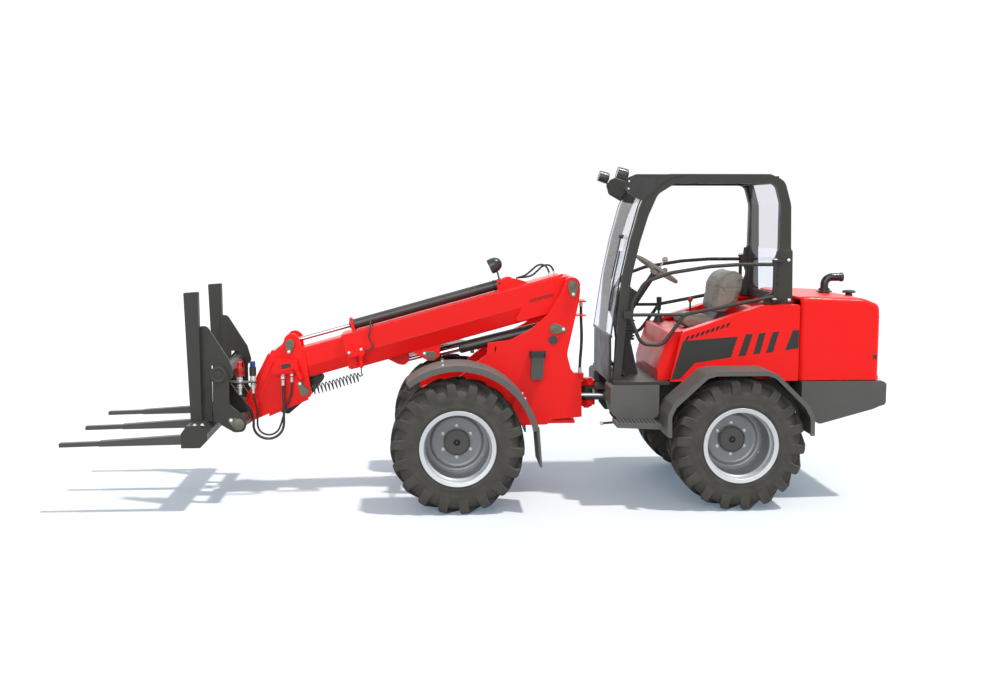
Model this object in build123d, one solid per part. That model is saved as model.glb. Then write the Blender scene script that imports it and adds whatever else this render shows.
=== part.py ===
"""Compact articulated telehandler with a pallet fork, as an assembly of separate pieces.

The front axle is at x = 0 while modelling, forks towards -x, ground at z = 0, all in
millimetres. save() moves every piece so that the origin is the centre of the footprint.
"""
from build123d import *
from math import cos, hypot, pi, radians, sin, tan
import os

# ---------------------------------------------------------------- driving dimensions
WHEELBASE = 2071
TRACK = 1400
TYRE_RADIUS = 490
TYRE_WIDTH = 360
RIM_RADIUS = 254
FORK_TIP_X = -2872
REAR_END_X = 3268
PIVOT_X = 1050              # articulation axis
BODY_HALF = 570             # red side panels and bonnet
CAB_HALF = 460              # outer faces of the cab posts
ROOF_Z = 2470
FLOOR_Z = 900               # top of the chassis and underside of the cab floor
FLOOR = 24                  # thickness of the cab's floor
FRAME_HALF = 285            # outer faces of the front frame's side plates
FRAME_PLATE = 30
PLATE_IN = FRAME_HALF - FRAME_PLATE
FENDER_HALF = 890
PIN_GAP = 0.3               # radial clearance of a pin in a moving eye
GAP = 6                     # clearance between pieces that move past each other

BOOM_PIVOT = (898, 1630)
BOOM_SLOPE = 15.26          # degrees that the parked boom falls towards the fork
BOOM_HALF = 150
BOOM_WALL = 10
BOOM_TOP = 95               # heights across the boom, from the line through its pivot
BOOM_CREASE = -69
BOOM_BOTTOM = -185
BOOM_FRONT = 1815           # lengths along the boom, from its pivot
INNER_HALF = 118
INNER_TOP = 78
INNER_BOTTOM = -157
INNER_TAIL = 330
INNER_NOSE = 2180
STROKE_IN = 150
LIFT_BASE = (761, 1300)
LIFT_EYE = (-177, 1080)
LEVEL_EYE = (-402, 1018)
LIFT_Y = -78
LEVEL_Y = 88
TILT_PIVOT = (-1618, 621)
LEVER_PIVOT = (-1164, 809)
LEVER_LOW = (-1343, 655)
LINK_PIN = (-1690, 740)
CARRIER_HALF = 500
STEER_FRONT = (900, -150, 767)
STEER_REAR = (1560, -190, 767)

MID_X = (FORK_TIP_X + REAR_END_X) / 2
REAR_AXLE_X = WHEELBASE
WHEEL_Y = TRACK / 2


# ---------------------------------------------------------------- helpers
def save(name, *shapes):
    """Fuse the shapes, move them to the part's origin and write them as one node."""
    whole = shapes[0] if len(shapes) == 1 else shapes[0].fuse(*shapes[1:])
    export_step(Pos(-MID_X, 0, 0) * whole, f"parts/{name}.step")


def both(shape):
    """The shape and its mirror image across the machine's middle plane."""
    return [shape, mirror(shape, about=Plane.XZ)]


def profile(points):
    """Face with rounded corners from (across, up, corner radius) rows.

    A corner's radius is limited by the sides that meet there.
    """
    corners = [Vector(a, b) for a, b, _ in points]
    radii = []
    for i, (_, _, radius) in enumerate(points):
        before, after = corners[i - 1] - corners[i], corners[(i + 1) % len(corners)] - corners[i]
        turn = radians(180 - before.get_angle(after))
        room = 0.48 * min(before.length, after.length)
        radii.append(min(radius, room / tan(turn / 2)) if turn > 0.01 else 0)
    return make_face(FilletPolyline(*corners, radius=radii, close=True))


def drop(x, z, radius, tail_x, tail_z, tail_radius, y_from, y_to):
    """Pear-shaped plate around two points in side view, such as a pin's keeper."""
    rounds = (Pos(x, z) * Circle(radius)).edges() + (Pos(tail_x, tail_z) * Circle(tail_radius)).edges()
    solid = extrude(make_hull(rounds), amount=y_to - y_from)
    return Plane(origin=(0, y_to, 0), x_dir=(1, 0, 0), z_dir=(0, -1, 0)) * solid


def plate(points, y_from, y_to):
    """Solid with a side-view outline of (x, z, corner radius), between two values of y."""
    solid = extrude(profile(points), amount=y_to - y_from)
    return Plane(origin=(0, y_to, 0), x_dir=(1, 0, 0), z_dir=(0, -1, 0)) * solid


def flat(points, z_from, z_to):
    """Solid with a plan-view outline of (x, y, corner radius), between two values of z."""
    return Pos(0, 0, z_from) * extrude(profile(points), amount=z_to - z_from)


def block(x_from, x_to, y_from, y_to, z_from, z_to):
    centre = Pos((x_from + x_to) / 2, (y_from + y_to) / 2, (z_from + z_to) / 2)
    return centre * Box(x_to - x_from, y_to - y_from, z_to - z_from)


def bar_y(x, z, radius, y_from, y_to):
    """Round bar along y."""
    return Pos(x, (y_from + y_to) / 2, z) * Rot(90, 0, 0) * Cylinder(radius, y_to - y_from)


def bar(start, end, radius):
    """Round bar between two points."""
    a, b = Vector(*start), Vector(*end)
    return Plane(origin=(a + b) * 0.5, z_dir=b - a) * Cylinder(radius, (b - a).length)


def pipe(points, radii, radius):
    """Bent round tube through points, with a bend radius at each inner point."""
    path = FilletPolyline(*points, radius=radii)
    start = Plane(origin=path @ 0, z_dir=path % 0)
    return sweep(start * Circle(radius), path=path)


def hose(name, points, diameter):
    """Tube along a route: each bend is 0.45 of its shorter run over the tangent of half the turn."""
    corners = [Vector(*p) for p in points]
    radii = []
    for before, corner, after in zip(corners, corners[1:], corners[2:]):
        turn = radians((corner - before).get_angle(after - corner))
        radii.append(0.45 * min((corner - before).length, (after - corner).length) / tan(turn / 2))
    path = FilletPolyline(*corners, radius=radii)
    tube = sweep(Plane(origin=path @ 0, z_dir=path % 0) * Circle(diameter / 2), path=path)
    section = pi * (diameter / 2) ** 2
    print(f"{name}: length {path.length:.0f}, radii {[round(r) for r in radii]}, "
          f"volume ratio {tube.volume / section / path.length:.4f}")
    return tube


def at_boom(along, up):
    """Side-view point from its place along and above the parked boom's pivot line."""
    c, s = cos(radians(BOOM_SLOPE)), sin(radians(BOOM_SLOPE))
    return BOOM_PIVOT[0] - along * c - up * s, BOOM_PIVOT[1] - along * s + up * c


def on_boom(points):
    """Outline rows given as (along, up, corner radius) on the boom."""
    return [(*at_boom(a, b), r) for a, b, r in points]


def boom_plane(along):
    """Plane square across the boom: local x is the machine's y, local y is up the boom."""
    x, z = at_boom(along, 0)
    c, s = cos(radians(BOOM_SLOPE)), sin(radians(BOOM_SLOPE))
    return Plane(origin=(x, 0, z), x_dir=(0, -1, 0), z_dir=(-c, 0, -s))


def boom_prism(points, from_along, to_along):
    """Solid with an outline (y, up, corner radius) that runs along the boom."""
    return boom_plane(from_along) * extrude(profile(points), amount=to_along - from_along)


def eye(x, z, y_mid, width, radius, hole):
    """Ring around a pin that runs along y."""
    low, high = y_mid - width / 2, y_mid + width / 2
    return bar_y(x, z, radius, low, high) - bar_y(x, z, hole, low - 1, high + 1)


# ---------------------------------------------------------------- wheels
def wheel_plane(x, side):
    """Revolve plane of a wheel: local x is the radius, local y points outwards."""
    return Plane(origin=(x, side * WHEEL_Y, TYRE_RADIUS), x_dir=(1, 0, 0), z_dir=(0, 0, side))


def spin(face, x, side):
    placed = wheel_plane(x, side) * face
    return revolve(placed, Axis((x, side * WHEEL_Y, TYRE_RADIUS), (0, side, 0)))


DISC_Y = -125               # wheel disc, from the middle of the wheel
HUB_BORE = 98
HUB_FACE_Y = 590            # end of the hub that stands through the disc
AXLE_SEAT = 556             # top of the axle's spring pads and underside of the front frame


def make_tyre(x, side):
    half = TYRE_WIDTH / 2
    section = [
        (RIM_RADIUS, -half + 12, 0), (RIM_RADIUS, half - 12, 0), (RIM_RADIUS + 30, half - 6, 12),
        (RIM_RADIUS + 110, half, 60), (TYRE_RADIUS - 45, half - 8, 25), (TYRE_RADIUS, half - 50, 40),
        (TYRE_RADIUS, -half + 50, 40), (TYRE_RADIUS - 45, -half + 8, 25),
        (RIM_RADIUS + 110, -half, 60), (RIM_RADIUS + 30, -half + 6, 12),
    ]
    return spin(profile(section), x, side)


def make_rim(x, side):
    half = TYRE_WIDTH / 2
    wall = 8
    lip = RIM_RADIUS + 25
    barrel = [
        (RIM_RADIUS, -half + 11, 0), (RIM_RADIUS, half - 11, 0), (lip, half - 5, 4), (lip, half + 3, 3),
        (RIM_RADIUS - wall, half - 2, 5), (RIM_RADIUS - wall, half - 60, 10),
        (RIM_RADIUS - 22, half - 80, 10), (RIM_RADIUS - 22, -half + 60, 10),
        (RIM_RADIUS - wall, -half + 40, 10), (RIM_RADIUS - wall, -half + 2, 5),
        (lip, -half - 3, 3), (lip, -half + 5, 4),
    ]
    disc = [
        (HUB_BORE - 20, DISC_Y - 7, 0), (HUB_BORE - 20, DISC_Y + 7, 0), (180, DISC_Y + 7, 30),
        (205, DISC_Y + 30, 20), (RIM_RADIUS - 21, DISC_Y + 30, 0), (RIM_RADIUS - 21, DISC_Y + 14, 0),
        (215, DISC_Y + 14, 15), (190, DISC_Y - 7, 20),
    ]
    return spin(profile(barrel), x, side).fuse(spin(profile(disc), x, side))


def make_axle(x):
    """Banjo axle: differential, two tapered arms and the final drives with their hubs."""
    disc_face = WHEEL_Y + DISC_Y - 7
    solids = [Pos(x, 0, TYRE_RADIUS) * Rot(90, 0, 0) * Cylinder(165, 190)]
    solids[0] = fillet(solids[0].edges().filter_by(GeomType.CIRCLE), 40)
    for side in (-1, 1):
        arm = Plane(origin=(x, side * 80, TYRE_RADIUS), z_dir=(0, side, 0))
        solids.append(arm * Pos(0, 0, 75) * Cone(100, 62, 150))
        solids.append(arm * Pos(0, 0, 240) * Cylinder(62, 200))
        solids.append(arm * Pos(0, 0, 370) * Cylinder(115, 60))
        flange_end = disc_face - 80
        solids.append(arm * Pos(0, 0, (400 + flange_end) / 2) * Cylinder(135, flange_end - 400))
        y_from, y_to = sorted((side * (PLATE_IN - 10), side * (FRAME_HALF + 10)))
        solids.append(block(x - 55, x + 55, y_from, y_to, TYRE_RADIUS + 20, AXLE_SEAT))
    return solids[0].fuse(*solids[1:])


def make_hub(x, side):
    """Hub cap that turns with the wheel and stands through the disc."""
    out = Plane(origin=(x, 0, TYRE_RADIUS), z_dir=(0, side, 0))
    disc_back = WHEEL_Y + DISC_Y - 7
    cap = out * Pos(0, 0, (disc_back + HUB_FACE_Y + 30) / 2) * Cylinder(HUB_BORE, HUB_FACE_Y + 30 - disc_back)
    return cap


os.makedirs("parts", exist_ok=True)
for axle_name, axle_x in (("front", 0), ("rear", REAR_AXLE_X)):
    for side_name, side in (("left", -1), ("right", 1)):
        save(f"{axle_name}_{side_name}_tyre", make_tyre(axle_x, side))
        save(f"{axle_name}_{side_name}_rim", make_rim(axle_x, side), make_hub(axle_x, side))
    save(f"{axle_name}_axle", make_axle(axle_x))


# ---------------------------------------------------------------- front frame
LUG_ROUND = 62
PIN_RADIUS = 25
SIDE_PLATE = [
    (976, 614, 8), (746, 596, 10), (707, 556, 10), (506, 552, 10), (330, 556, 10), (-190, 556, 20),
    (-270, 640, 40), (-270, 860, 60), (35, 938, 60), (166, 1046, 40), (243, 1107, 10), (247, 1192, 10),
    (419, 1214, 150), (573, 1290, 200), (711, 1412, 200), (802, 1565, 120), (852, 1690, 35),
    (948, 1690, 50), (956, 1590, 40), (949, 1518, 60), (858, 1100, 100), (891, 978, 60), (969, 900, 20),
]
SERVICE_HOLE = (750, 1211, 30)
SLOT_HOLE = (308, 1145)
LUG_HEIGHTS = ((670, 708), (826, 864))
STEER_LUG_GAP = 24          # half the space between a steering cylinder's lugs
CROSS_X = (925, 950)


def make_front_frame():
    near = plate(SIDE_PLATE, -FRAME_HALF, -PLATE_IN)
    x, z, r = SERVICE_HOLE
    near -= bar_y(x, z, r, -FRAME_HALF - 1, -PLATE_IN + 1)
    near -= plate([(SLOT_HOLE[0] - 9, SLOT_HOLE[1], 4), (SLOT_HOLE[0], SLOT_HOLE[1] - 34, 4),
                   (SLOT_HOLE[0] + 9, SLOT_HOLE[1], 4), (SLOT_HOLE[0], SLOT_HOLE[1] + 34, 4)],
                  -FRAME_HALF - 1, -PLATE_IN + 1)
    pieces = both(near)
    pieces.append(block(*CROSS_X, -PLATE_IN, PLATE_IN, 614, 900))
    pieces.append(block(190, 925, -PLATE_IN, PLATE_IN, 560, 584))
    pieces.append(block(-262, -240, -PLATE_IN, PLATE_IN, 640, 740))
    pieces.append(block(-250, -190, -PLATE_IN, PLATE_IN, 640, 664))
    for low, high in LUG_HEIGHTS:
        lug = flat([(CROSS_X[0] + 5, -115, 0), (PIVOT_X, -LUG_ROUND, 0), (PIVOT_X + LUG_ROUND, -LUG_ROUND, 60),
                    (PIVOT_X + LUG_ROUND, LUG_ROUND, 60), (PIVOT_X, LUG_ROUND, 0), (CROSS_X[0] + 5, 115, 0)],
                   low, high)
        pieces.append(lug)
    for z in (LUG_HEIGHTS[0][0] - 8, LUG_HEIGHTS[1][1] + 8):
        pieces.append(Pos(PIVOT_X, 0, z) * Cylinder(45, 16))
    pieces.append(Pos(PIVOT_X, 0, (640 + 880) / 2) * Cylinder(PIN_RADIUS, 240))
    pieces.append(bar_y(*BOOM_PIVOT, 30, -PLATE_IN - 5, PLATE_IN + 5))
    pieces.append(bar_y(*LIFT_BASE, PIN_RADIUS, -PLATE_IN - 5, PLATE_IN + 5))
    for sign in (-1, 1):
        for (x, z), (rx, rz) in ((BOOM_PIVOT, (902, 1565)), (LIFT_BASE, (827, 1296))):
            y_from, y_to = sorted((sign * FRAME_HALF, sign * (FRAME_HALF + 14)))
            pieces.append(drop(x, z, 38, rx, rz, 20, y_from, y_to))
    pieces.append(block(905, 1006, -PLATE_IN - 5, -76, 1500, 1512))
    clip = block(880, 1008, -PLATE_IN - 5, -80, 1392, 1400)
    for y in (-96, -128):
        clip -= Pos(985, y, 1396) * Cylinder(11.5, 20)
    pieces.append(clip)
    pieces.append(block(930, 1006, -150, -74, 886, 936))
    x, y, z = STEER_FRONT
    pieces[2] -= block(CROSS_X[0] - 1, CROSS_X[1] + 1, -PLATE_IN - 1, -PLATE_IN + 185, z - 42, z + 42)
    for low in (z - STEER_LUG_GAP - 18, z + STEER_LUG_GAP):
        pieces.append(flat([(x - 64, -PLATE_IN - 5, 0), (x - 64, y + 60, 0), (x + 4, y + 26, 20), (x + 24, y, 16),
                            (x + 4, -PLATE_IN - 5, 0)], low, low + 18))
    pieces.append(block(x - 76, x - 60, -PLATE_IN - 5, y + 60, z - 45, z + 45))
    for low in (z - STEER_LUG_GAP - 26, z + STEER_LUG_GAP + 18):
        pieces.append(Pos(x, y, low + 4) * Cylinder(18, 8))
    return pieces


def make_filler():
    """Hydraulic tank neck on the near plate, with its cap."""
    neck = plate([(575, 915, 20), (668, 915, 20), (675, 1085, 8), (582, 1085, 8)],
                 -FRAME_HALF - 52, -FRAME_HALF)
    cap = block(566, 690, -FRAME_HALF - 62, -FRAME_HALF, 1085, 1132)
    return [neck, fillet(cap.edges().filter_by(Axis.Z), 22)]


def arc_band(cx, cz, inner, outer, start, end, y_from, y_to):
    """Curved plate about a centre, between two angles measured up from +x."""
    ring = bar_y(cx, cz, outer, y_from, y_to) - bar_y(cx, cz, inner, y_from - 1, y_to + 1)
    reach = outer * 3
    mid = (start + end) / 2
    wedge = [(cx, cz, 0)]
    for angle in (start, mid, end):
        wedge.append((cx + reach * cos(radians(angle)), cz + reach * sin(radians(angle)), 0))
    return ring & plate(wedge, y_from - 2, y_to + 2)


FRONT_ARCH = 586
ARCH_CENTRE_Z = 500
FENDER_IN = 505


def make_front_fender(side):
    """Arched mudguard with a turned-down outer lip, two stays and a rubber tail."""
    y_from, y_to = (-FENDER_HALF, -FENDER_IN)
    skin = arc_band(0, ARCH_CENTRE_Z, FRONT_ARCH, FRONT_ARCH + 12, 12, 128, y_from, y_to)
    lip = arc_band(0, ARCH_CENTRE_Z, FRONT_ARCH - 30, FRONT_ARCH + 12, 12, 128, y_from, y_from + 12)
    tail = plate([(571, 640, 0), (590, 640, 0), (612, 350, 6), (596, 350, 6)], y_from, y_to)
    pieces = [skin, lip, tail]
    for angle in (35, 100):
        x = (FRONT_ARCH - 14) * cos(radians(angle))
        z = ARCH_CENTRE_Z + (FRONT_ARCH - 14) * sin(radians(angle))
        pieces.append(bar((x, -FRAME_HALF, z), (x, -FENDER_HALF + 12, z), 15))
    shape = pieces[0].fuse(*pieces[1:])
    return shape if side < 0 else mirror(shape, about=Plane.XZ)


save("front_frame", *make_front_frame())
save("filler_neck", *make_filler())
save("front_left_fender", make_front_fender(-1))
save("front_right_fender", make_front_fender(1))


# ---------------------------------------------------------------- boom
DOUBLER = 8
EAR = 14
BOOM_SECTION = [
    (-BOOM_HALF, BOOM_TOP, 14), (BOOM_HALF, BOOM_TOP, 14), (BOOM_HALF, BOOM_CREASE, 20),
    (BOOM_HALF - 26, BOOM_BOTTOM, 16), (-BOOM_HALF + 26, BOOM_BOTTOM, 16), (-BOOM_HALF, BOOM_CREASE, 20),
]
BOOM_BORE = [
    (-BOOM_HALF + BOOM_WALL, BOOM_TOP - BOOM_WALL, 6), (BOOM_HALF - BOOM_WALL, BOOM_TOP - BOOM_WALL, 6),
    (BOOM_HALF - BOOM_WALL, BOOM_CREASE, 20), (BOOM_HALF - 26 - BOOM_WALL, BOOM_BOTTOM + BOOM_WALL, 8),
    (-BOOM_HALF + 26 + BOOM_WALL, BOOM_BOTTOM + BOOM_WALL, 8), (-BOOM_HALF + BOOM_WALL, BOOM_CREASE, 20),
]
INNER_SECTION = [
    (-INNER_HALF, INNER_TOP, 10), (INNER_HALF, INNER_TOP, 10), (INNER_HALF, BOOM_CREASE, 16),
    (INNER_HALF - 20, INNER_BOTTOM, 10), (-INNER_HALF + 20, INNER_BOTTOM, 10), (-INNER_HALF, BOOM_CREASE, 16),
]
INNER_BORE = [
    (-INNER_HALF + 9, INNER_TOP - 9, 4), (INNER_HALF - 9, INNER_TOP - 9, 4), (INNER_HALF - 9, BOOM_CREASE, 16),
    (INNER_HALF - 29, INNER_BOTTOM + 9, 4), (-INNER_HALF + 29, INNER_BOTTOM + 9, 4),
    (-INNER_HALF + 9, BOOM_CREASE, 16),
]
RAM_UP = 140                # telescope ram above the boom line
RAM_RADIUS = 40
RAM_PIN = (494, 140)
RAM_GLAND = 1730
RAM_EYE = (2206, 140)


def make_outer_boom():
    shell = boom_prism(BOOM_SECTION, 60, BOOM_FRONT) - boom_prism(BOOM_BORE, 140, BOOM_FRONT + 5)
    doubler = on_boom([(-10, 70, 60), (272, 74, 20), (490, -150, 60), (452, -172, 20), (240, -172, 80), (-60, -40, 60)])
    pieces = [shell]
    near = plate(doubler, -BOOM_HALF - DOUBLER, -BOOM_HALF)
    slot = plate(on_boom([(145, -28, 12), (345, -28, 12), (345, -54, 12), (145, -54, 12)]),
                 -BOOM_HALF - DOUBLER - 1, -BOOM_HALF + 1)
    pieces += both(near - slot)
    hub = bar_y(*BOOM_PIVOT, 62, -PLATE_IN + GAP, PLATE_IN - GAP)
    pieces.append(hub)
    collar = on_boom([(BOOM_FRONT - 62, -185, 8), (BOOM_FRONT - 62, BOOM_TOP, 8), (BOOM_FRONT - 12, BOOM_TOP, 8),
                      (BOOM_FRONT + 12, -170, 8)])
    pieces += both(plate(collar, -BOOM_HALF - 6, -BOOM_HALF))
    shelf = plate(on_boom([(1668, -32, 4), (1808, -32, 4), (1808, -86, 10), (1668, -86, 10)]),
                  -BOOM_HALF - 58, -BOOM_HALF + 2)
    x, z = at_boom(1700, -80)
    pieces += [shelf, socket(x, z, 0, -1)]
    ram_ear = on_boom([(302, BOOM_TOP - 6, 0), (440, 176, 40), (540, 176, 14), (556, BOOM_TOP - 6, 0)])
    pieces += both(plate(ram_ear, -50 - EAR, -50))
    lift_ear = on_boom([(1090, BOOM_BOTTOM + 14, 0), (1130, -270, 20), (1180, -292, 40), (1232, -270, 20),
                        (1330, BOOM_BOTTOM + 14, 0)])
    for y in (LIFT_Y - 46, LIFT_Y + 32):
        pieces.append(plate(lift_ear, y, y + EAR))
    level_ear = on_boom([(1345, BOOM_BOTTOM + 14, 0), (1375, -262, 20), (1414, -284, 40), (1462, -262, 20),
                         (1560, BOOM_BOTTOM + 14, 0)])
    for y in (LEVEL_Y - 44, LEVEL_Y + 30):
        pieces.append(plate(level_ear, y, y + EAR))
    guide = boom_prism([(-58, BOOM_TOP - 4, 0), (58, BOOM_TOP - 4, 0), (58, 172, 20), (30, 196, 12),
                        (-30, 196, 12), (-58, 172, 20)], BOOM_FRONT - 112, BOOM_FRONT - 88)
    gx, gz = at_boom(BOOM_FRONT - 120, RAM_UP)
    hx, hz = at_boom(BOOM_FRONT - 80, RAM_UP)
    pieces.append(guide - bar((gx, 0, gz), (hx, 0, hz), RAM_RADIUS))
    body = pieces[0].fuse(*pieces[1:])
    return body - bar_y(*BOOM_PIVOT, 30 + PIN_GAP, -PLATE_IN, PLATE_IN)


def boom_bar(from_along, to_along, up, radius, y=0):
    ax, az = at_boom(from_along, up)
    bx, bz = at_boom(to_along, up)
    return bar((ax, y, az), (bx, y, bz), radius)


def make_ram_barrel():
    tube = boom_bar(536, RAM_GLAND, RAM_UP, RAM_RADIUS) - boom_bar(720 - STROKE_IN - 12, RAM_GLAND + 1, RAM_UP, 23)
    x, z = at_boom(*RAM_PIN)
    lug = plate([(x - 34, z - 34, 30), (x - 34, z + 34, 30), (x + 34, z + 34, 30), (x + 34, z - 34, 30)], -30, 30)
    neck = boom_bar(490, 545, RAM_UP, 26)
    pin = bar_y(x, z, 18, -50, 50)
    ports = both(boom_bar(470, 430, 150, 11, y=-15))
    return [tube, neck, lug, pin, *ports]


def make_ram_rod():
    rod = boom_bar(720, RAM_EYE[0] - 30, RAM_UP, 16)
    piston = boom_bar(720, 750, RAM_UP, 22.5)
    x, z = at_boom(*RAM_EYE)
    return [rod, piston, bar_y(x, z, 38, -28, 28)]


# head of the inner boom, in side view at rest
HEAD_HALF = 140
HEAD_SIDE = [
    (-1571, 590, 10), (-1640, 700, 25), (-1437, 1095, 30), (-1380, 1130, 20), (-1321, 1187, 30),
    (-1300, 1250, 50), (-1240, 1262, 50), (-1196, 1225, 40), (-1188, 1145, 20), (-1150, 1080, 40),
    (-1120, 850, 60), (-1100, 770, 50), (-1200, 742, 20),
]
PIVOT_BOSS = 62
LINK_ROOM = 54              # half the free width in the head for the tilt link and its arms


SOCKET_Y = -205             # the spiral cable and its two sockets, beside the boom
SOCKET_LENGTH = 106
CABLE_RADIUS = 40           # outside of the spiral


def socket(x, z, dx, dz, y=SOCKET_Y):
    """Round electric socket with its plug, pointing down and away from a bracket."""
    axis = Plane(origin=(x, y, z), z_dir=(dx, 0, dz))
    sections = [(26, 22), (20, 48), (24, 24), (12, SOCKET_LENGTH - 94)]
    shapes, base = [], 0
    for radius, length in sections:
        shapes.append(axis * Pos(0, 0, base + length / 2) * Cylinder(radius, length))
        base += length
    return shapes[0].fuse(*shapes[1:])


def make_inner_boom():
    tube = boom_prism(INNER_SECTION, INNER_TAIL, INNER_NOSE) - boom_prism(INNER_BORE, INNER_TAIL - 1, INNER_NOSE + 1)
    slot = boom_prism([(-62, INNER_BOTTOM - 5, 0), (62, INNER_BOTTOM - 5, 0), (62, INNER_BOTTOM + 20, 0),
                       (-62, INNER_BOTTOM + 20, 0)], 1990, INNER_NOSE + 5)
    pieces = [tube - slot]
    side = plate(HEAD_SIDE, -HEAD_HALF, -HEAD_HALF + 20)
    pieces += both(side)
    for sign in (-1, 1):
        y_in, y_out = sorted((sign * (HEAD_HALF - 60), sign * (HEAD_HALF + 14)))
        pieces.append(plate([(-1640, 712, 0), (-1628, 706, 0), (-1425, 1101, 0), (-1437, 1107, 0)], y_in, y_out))
        pieces.append(plate([(-1560, 598, 0), (-1566, 586, 0), (-1215, 736, 0), (-1209, 748, 0)], y_in, y_out))
    pieces.append(plate([(-1430, 1090, 0), (-1395, 1128, 0), (-1200, 1140, 0), (-1200, 1118, 0), (-1380, 1105, 0),
                         (-1415, 1075, 0)], -HEAD_HALF, HEAD_HALF))
    pieces += both(bar_y(*TILT_PIVOT, PIVOT_BOSS, -HEAD_HALF - 14, -LINK_ROOM))
    pieces.append(bar_y(*LEVER_PIVOT, 30, -HEAD_HALF - 16, HEAD_HALF + 16))
    x, z = at_boom(*RAM_EYE)
    for sign in (-1, 1):
        y_in, y_out = sorted((sign * (HEAD_HALF + 14), sign * HEAD_HALF))
        pieces.append(bar_y(*LEVER_PIVOT, 56, y_in, y_out))
        pieces.append(bar_y(x, z, 42, y_in, y_out))
        y_in, y_out = sorted((sign * 28, sign * HEAD_HALF))
        pieces.append(bar_y(x, z, 30, y_in, y_out))
    shelf = plate([(-1394, 955, 4), (-1202, 1004, 4), (-1212, 1058, 4), (-1398, 1022, 4)],
                  -HEAD_HALF - 78, -HEAD_HALF)
    window = plate([(-1340, 988, 6), (-1252, 1011, 6), (-1262, 1042, 6), (-1346, 1023, 6)],
                   -HEAD_HALF - 80, -HEAD_HALF - 40)
    pieces.append(shelf - window)
    pieces.append(socket(-1226, 1003, 0.42, -0.9075))
    pieces.append(bar((-1322, -184, 985), (-1322, -184, 905), 14))
    pieces.append(bar((-1255, -172, 1000), (-1255, -172, 925), 11))
    body = pieces[0].fuse(*pieces[1:])
    return body - bar_y(*TILT_PIVOT, 28, -HEAD_HALF - 20, HEAD_HALF + 20)


LEVER_HALF = 38


def make_lever():
    outline = [(-1380, 640, 34), (-1300, 615, 34), (-1120, 770, 40), (-1010, 905, 34), (-1060, 945, 34),
               (-1215, 845, 60)]
    plates = both(plate(outline, -LEVER_HALF, -LEVER_HALF + 16))
    hub = bar_y(*LEVER_PIVOT, 52, -HEAD_HALF + 20 + GAP, HEAD_HALF - 20 - GAP)
    body = plates[0].fuse(plates[1], hub)
    body -= bar_y(*LEVER_PIVOT, 30 + PIN_GAP, -HEAD_HALF, HEAD_HALF)
    low = bar_y(*LEVER_LOW, 16, -LEVER_HALF, LEVER_HALF)
    return body.fuse(low)


def make_link():
    """Link between the lever's low pin and the carrier, open at the carrier end."""
    (ax, az), (bx, bz) = LEVER_LOW, LINK_PIN
    width = 2 * (LEVER_HALF - 16) - 2
    shank = bar((ax, 0, az), (bx, 0, bz), 15)
    shape = shank.fuse(bar_y(ax, az, 30, -width / 2, width / 2), bar_y(bx, bz, 30, -width / 2, width / 2))
    return shape - bar_y(ax, az, 16 + PIN_GAP, -60, 60)


save("outer_boom", make_outer_boom())
save("telescope_barrel", *make_ram_barrel())
save("telescope_rod", *make_ram_rod())
save("inner_boom", make_inner_boom())
save("tilt_lever", make_lever())
save("tilt_link", make_link())


# ---------------------------------------------------------------- lift and levelling cylinders
def cylinder(base, end, y, radius, rod_radius, barrel_length, base_pin, eye_radius, eye_width):
    """Barrel with its eye on the base pin, and rod with its own cross pin at the free end."""
    (bx, bz), (ex, ez) = base, end
    length = hypot(ex - bx, ez - bz)
    ux, uz = (ex - bx) / length, (ez - bz) / length

    def along(distance):
        return bx + ux * distance, y, bz + uz * distance

    barrel = bar(along(base_pin + 22), along(barrel_length), radius)
    barrel = barrel.fuse(bar_y(bx, bz, base_pin + 20, y - eye_width / 2, y + eye_width / 2))
    barrel = barrel.fuse(bar(along(0), along(base_pin + 40), radius * 0.7))
    barrel -= bar_y(bx, bz, base_pin + PIN_GAP, y - radius * 2, y + radius * 2)
    barrel -= bar(along(base_pin + 90), along(barrel_length + 1), rod_radius + 6)
    rod = bar(along(base_pin + 155), along(length - eye_radius * 0.6), rod_radius)
    rod = rod.fuse(bar(along(base_pin + 155), along(base_pin + 185), rod_radius + 5.5))
    rod = rod.fuse(bar_y(ex, ez, eye_radius, y - eye_width / 2, y + eye_width / 2))
    return barrel, rod


lift_barrel, lift_rod = cylinder(LIFT_BASE, LIFT_EYE, LIFT_Y, 40, 25, 740, PIN_RADIUS, 30, 52)
level_barrel, level_rod = cylinder(LIFT_BASE, LEVEL_EYE, LEVEL_Y, 35, 18, 930, PIN_RADIUS, 28, 48)
save("lift_cylinder_barrel", lift_barrel)
save("lift_cylinder_rod", lift_rod)
save("level_cylinder_barrel", level_barrel)
save("level_cylinder_rod", level_rod)


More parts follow.
